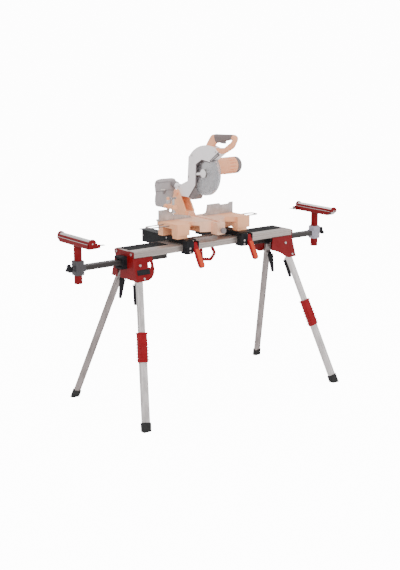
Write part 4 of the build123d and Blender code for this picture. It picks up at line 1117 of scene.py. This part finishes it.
    def build(self, shop: Workshop) -> None:
        """Makes the head's pieces."""
        shop.piece("d_handle", self.handle_ring(0.0, 0.0, 1.0), SAW_PLASTIC, "head", ("handle",), 60)
        shop.piece("handle_grip", self.handle_ring(1.1, 0.3235, 0.49), GRIP_RUBBER, "head", (), 60)
        shop.piece("motor_shell", self.motor_surface(), SAW_PLASTIC, "head", ("motor_housing",), 35)
        shop.piece("motor_end", self.cap_surface(), DARK_PLASTIC, "head", ("motor_cap",), 35)
        half = self.guard_half
        for side, sign in SIDES.items():
            x0, x1 = sorted((sign * (half - 4), sign * (half + 0.8)))
            shop.piece(f"{side}_guard_lip", self.trim_strip(x0, x1), GUARD_TRIM, "head")
        lip = rounded_outline(((-118, 1222), (-110, 1235), (-43, 1188), (-48, 1180)), 3)
        shop.piece("guard_front_plate", slab(lip, -half - 1.4, -12.2, 0.8, Lie.YZ), GUARD_TRIM, "head")
        chute = rounded_outline(((128.6, 988.6), (80, 1041), (51, 1012), (65.5, 983.2), (108, 975.2)), 4)
        shop.piece("dust_chute", slab(chute, -17.7, 17.7, 1.5, Lie.YZ), DARK_PLASTIC, "head")
        self._build_ribs(shop)
        self._build_link(shop)
        self._build_screws(shop)

    def _build_ribs(self, shop: Workshop) -> None:
        """The raised ribs across the chute and the slots of the front plate."""
        at = np.linspace(0.12, 0.88, 6)[:, None]
        start, end = np.array([[0, 62, 990.0]]), np.array([[0, 92, 1020.0]])
        centres = start + (end - start) * at
        lengthwise = np.tile(np.array([0, -0.7071, 0.7071]), (6, 1))
        across = np.tile([1.0, 0.0, 0.0], (6, 1))
        shop.piece("chute_ribs", boxes(centres, across, lengthwise, (18.3, 12.0, 1.0)), DARK_PLASTIC, "head")
        at = np.linspace(0.1, 0.9, 7)[:, None]
        start, end = np.array([[0, -109, 1223.5]]), np.array([[0, -51, 1187.5]])
        direction = (end - start) / np.linalg.norm(end - start)
        centres = start + (end - start) * at + np.array([-16.6, 0, 0])
        square = np.tile(np.array([0, -direction[0, 2], direction[0, 1]]), (7, 1))
        across = np.tile([1.0, 0.0, 0.0], (7, 1))
        shop.piece("front_plate_bars", boxes(centres, across, square, (4.2, 4.0, 1.3)), GUARD_PAINT, "head")

    def _build_link(self, shop: Workshop) -> None:
        """The pale link and hub plate outside the blade screw."""
        y, z = self.blade_y, self.blade_z
        hub = lathe(fine_profile(((0, 0), (0, 20), (1.2, 21), (2.8, 21), (4, 19), (4, 9), (5.4, 8), (5.4, 0)), 1),
                    (-14.2, y, z), (-1, 0, 0))
        shop.piece("hub_plate", hub, GUARD_PAINT, "head")
        bar = rounded_outline(((y - 2, z - 7), (y + 60, z - 15), (y + 60, z - 3), (y - 2, z + 7)), 3)
        shop.piece("hub_link", slab(bar, -18.4, -14.6, 1.0, Lie.YZ), GUARD_PAINT, "head")

    def _build_screws(self, shop: Workshop) -> None:
        """Socket screws round the gear case and on the guard."""
        profile = fine_profile(((0, 0), (0, 4.2), (2.4, 4.2), (3.2, 3.2), (3.2, 2.2), (1.2, 2.0),
                                (1.2, 0)), 0.8)
        surface = None
        for x, y, z, sign in ((30, 64, 1076, 1), (30, 72, 1168, 1), (30, -33, 1183, 1), (30, -24, 1100, 1),
                              (-19, 100, 1200, -1), (-19, 128, 1090, -1), (-19, -90, 1234, -1), (-19, 208, 1030, -1)):
            screw = lathe(profile, (x, y, z), (sign, 0, 0), 24)
            surface = screw if surface is None else surface.plus(screw)
        shop.piece("head_screws", surface, ZINC, "head")


@dataclass
class DustBag:
    """The cloth bag on the dust outlet."""

    centre: Point = (0.0, 353.0, 979.5)
    half: Point = (36.0, 67.0, 72.0)
    lean: float = 9.0
    voxel: float = 5.0
    pressure: float = 4.0
    frames: int = 20
    most: float = 6.0

    def shell(self) -> Surface:
        """A boxy superellipsoid: the height goes with a signed power, 0.28, of the sphere's own, the
        plan is rounder, with a power of 0.5, and the shell leans with its open end up."""
        v = np.linspace(-math.pi / 2, math.pi / 2, 40)[:, None]
        u = np.linspace(0, 2 * math.pi, 64, endpoint=False)[None, :]

        def power(value: np.ndarray) -> np.ndarray:
            """Signed power that squares up a circle."""
            return np.sign(value) * np.abs(value) ** 0.28

        x = self.half[0] * power(np.cos(v)) * np.sign(np.cos(u)) * np.abs(np.cos(u)) ** 0.5
        y = self.half[1] * power(np.cos(v)) * np.sign(np.sin(u)) * np.abs(np.sin(u)) ** 0.5
        z = np.repeat(self.half[2] * power(np.sin(v)), 64, axis=1)
        lift = 2.0 * (1 - y / self.half[1]) * (z / self.half[2]) - self.lean * y / self.half[1]
        pinch = 1 - 0.12 * np.clip(-y / self.half[1], 0, 1) ** 2
        points = np.stack([x * pinch, y, z + lift], axis=-1) + np.array(self.centre)
        return grid_surface(points, False, True)

    def puff(self, bag: bpy.types.Object) -> None:
        """Remeshes the bag, blows it up as cloth and keeps the result, with each point's move capped.

        Args:
            bag: the bag's object, changed in place.
        """
        remesh = bag.modifiers.new("even_cloth", "REMESH")
        remesh.mode = "VOXEL"
        remesh.voxel_size = self.voxel * MM
        self._apply(bag)
        rest = self._points(bag.data)
        cloth = bag.modifiers.new("cloth", "CLOTH")
        cloth.settings.use_pressure = True
        cloth.settings.uniform_pressure_force = self.pressure
        cloth.settings.effector_weights.gravity = 0.0
        cloth.settings.quality = 6
        for frame in range(1, self.frames + 1):
            bpy.context.scene.frame_set(frame)
        moved = self._points(bag.evaluated_get(bpy.context.evaluated_depsgraph_get()).data)
        bag.modifiers.remove(cloth)
        bpy.context.scene.frame_set(1)
        step = moved - rest
        size = np.linalg.norm(step, axis=1, keepdims=True) + 1e-12
        rest = rest + step * np.minimum(1.0, self.most * MM / size)
        bag.data.vertices.foreach_set("co", self._crumpled(rest).astype(np.float32).ravel())
        smooth = bag.modifiers.new("smooth", "SUBSURF")
        smooth.levels = smooth.render_levels = 1
        self._apply(bag)
        bag.data.polygons.foreach_set("use_smooth", np.ones(len(bag.data.polygons), bool))

    @staticmethod
    def _crumpled(points: np.ndarray) -> np.ndarray:
        """Soft folds: X moves by up to 1.6 mm with the sine of a slanting line through Y and Z, and
        Z by 1 mm with the sine of Y."""
        y, z = points[:, 1] / MM, points[:, 2] / MM
        folded = points.copy()
        folded[:, 0] += 1.6 * MM * np.sin(y / 9 + z / 17) * np.sin(z / 23 + 1)
        folded[:, 2] += 1.0 * MM * np.sin(y / 13)
        return folded

    @staticmethod
    def _points(mesh: bpy.types.Mesh) -> np.ndarray:
        """A mesh's points as an array."""
        flat = np.zeros(len(mesh.vertices) * 3, np.float32)
        mesh.vertices.foreach_get("co", flat)
        return flat.reshape(-1, 3).astype(float)

    @staticmethod
    def _apply(bag: bpy.types.Object) -> None:
        """Turns the bag's modifiers into its mesh."""
        finished = bpy.data.meshes.new_from_object(bag.evaluated_get(bpy.context.evaluated_depsgraph_get()))
        materials = list(bag.data.materials)
        bag.modifiers.clear()
        bag.data = finished
        finished.materials.clear()
        for material in materials:
            finished.materials.append(material)

    def seam(self, shop: Workshop, bag: bpy.types.Object, height: float) -> Surface:
        """A level seam round the bag: a tilted ring drawn onto the cloth by a Shrinkwrap, then a round
        section carried along it."""
        flat = superellipse(self.half[0] + 14, self.half[1] + 14, 4, 120)
        tilted = height - self.lean * flat[:, 1] / self.half[1]
        ring = np.stack([flat[:, 0], flat[:, 1] + self.centre[1], tilted + self.centre[2]], axis=1)
        mesh = bpy.data.meshes.new("seam_line")
        mesh.from_pydata(shop.place(ring).tolist(), [(i, (i + 1) % 120) for i in range(120)], [])
        line = bpy.data.objects.new("seam_line", mesh)
        bpy.context.scene.collection.objects.link(line)
        wrap = line.modifiers.new("onto_cloth", "SHRINKWRAP")
        wrap.target = bag
        drawn = self._points(line.evaluated_get(bpy.context.evaluated_depsgraph_get()).data)
        bpy.data.objects.remove(line)
        path = (drawn - shop.datum) / MM
        path = (np.roll(path, 1, axis=0) + path + np.roll(path, -1, axis=0)) / 3
        return sweep(path, (0, 0, 1), superellipse(1.3, 1.3, 2, 10), True)

    def build(self, shop: Workshop) -> None:
        """Makes the bag, its seams, its collar, its tag and its clip."""
        bag = shop.piece("cloth_dust_bag", self.shell(), BAG_CLOTH, "head", ("dust_bag",), 180)
        self.puff(bag)
        for name, height in (("upper", 60.0), ("middle", 12.0)):
            shop.piece(f"{name}_bag_seam", self.seam(shop, bag, height), BAG_TAPE, "head", (), 90)
        collar = lathe(fine_profile(((0, 0), (0, 17), (2, 19.4), (14, 19.4), (16, 17.5), (34, 17), (34, 0)), 2),
                       (0, 254, 1030.4), (0, 40, 8))
        shop.piece("bag_collar", collar, DARK_PLASTIC, "head")
        outer = -self.half[0] - 6.4
        tag = rounded_outline(((300, 1003), (336, 999), (336, 1005), (300, 1009)), 1.5)
        shop.piece("bag_side_tag", slab(tag, outer, outer + 4, 0.5, Lie.YZ), BAG_TAG, "head")
        clip = rounded_outline(((304, 984), (320, 982), (320, 998), (304, 1000)), 3)
        shop.piece("bag_side_clip", slab(clip, outer - 0.8, outer + 4, 1.0, Lie.YZ), DARK_PLASTIC, "head")


class Studio:
    """The floor, the lights and the camera."""

    def build(self, shop: Workshop) -> None:
        """Makes the studio.

        Args:
            shop: the workshop, for the floor's finish and the drawing's place in the frame.
        """
        mesh = bpy.data.meshes.new("floor")
        mesh.from_pydata([(-30, -30, 0), (30, -30, 0), (30, 30, 0), (-30, 30, 0)], [], [(0, 1, 2, 3)])
        floor = bpy.data.objects.new("floor", mesh)
        bpy.context.scene.collection.objects.link(floor)
        mesh.materials.append(FLOOR.build(shop.groups))
        floor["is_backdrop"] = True
        world = bpy.data.worlds.new("studio_world")
        world.use_nodes = True
        world.node_tree.nodes["Background"].inputs["Color"].default_value = (1, 1, 1, 1)
        seen = world.node_tree.nodes.new("ShaderNodeLightPath").outputs["Is Camera Ray"]
        strength = _math(world.node_tree, "MULTIPLY_ADD", seen, 12.0, 1.15)
        world.node_tree.links.new(strength, world.node_tree.nodes["Background"].inputs["Strength"])
        bpy.context.scene.world = world
        self._lamp("key", (-2.6, -3.2, 3.4), 2.6, 95)
        self._lamp("fill", (3.4, -2.4, 2.2), 3.0, 40)
        self._lamp("top", (0.2, 1.2, 3.8), 3.0, 60)
        self._camera(shop)

    @staticmethod
    def _lamp(name: str, position: Point, size: float, power: float) -> None:
        """One square soft light that looks at the middle of the object."""
        lamp = bpy.data.lights.new(name, "AREA")
        lamp.energy = power
        lamp.size = size
        holder = bpy.data.objects.new(name, lamp)
        holder.location = position
        holder.rotation_mode = "QUATERNION"
        holder.rotation_quaternion = (Vector((0, 0, 0.8)) - Vector(position)).to_track_quat("-Z", "Y")
        bpy.context.scene.collection.objects.link(holder)

    @staticmethod
    def _camera(shop: Workshop) -> None:
        """The camera, at the operator's left and a little above the saw."""
        azimuth, elevation = math.radians(-37.68), math.radians(13.25)
        back = Vector((math.sin(azimuth) * math.cos(elevation), -math.cos(azimuth) * math.cos(elevation),
                       math.sin(elevation)))
        camera = bpy.data.cameras.new("camera")
        camera.lens = 71.61
        camera.sensor_width = 36.0
        holder = bpy.data.objects.new("camera", camera)
        holder.location = Vector((-3.4416, -4.3970, 1.8666)) + Vector(shop.datum)
        holder.rotation_mode = "QUATERNION"
        holder.rotation_quaternion = (-back).to_track_quat("-Z", "Y")
        bpy.context.scene.collection.objects.link(holder)
        bpy.context.scene.camera = holder


def main() -> None:
    """Builds every sub-assembly in order."""
    logging.basicConfig(level=logging.INFO, format="%(message)s")
    shop = Workshop()
    stand = Stand()
    stand.dress(shop)
    stand.dress_legs(shop)
    stand.build(shop)
    supports = Supports()
    supports.dress(shop)
    supports.build(shop)
    carriage = Carriage()
    carriage.dress(shop)
    carriage.build(shop)
    WorkClamp().build(shop)
    Column().build(shop)
    head = SawHead()
    head.dress(shop)
    head.build(shop)
    DustBag().build(shop)
    Studio().build(shop)


if __name__ == "__main__":
    main()
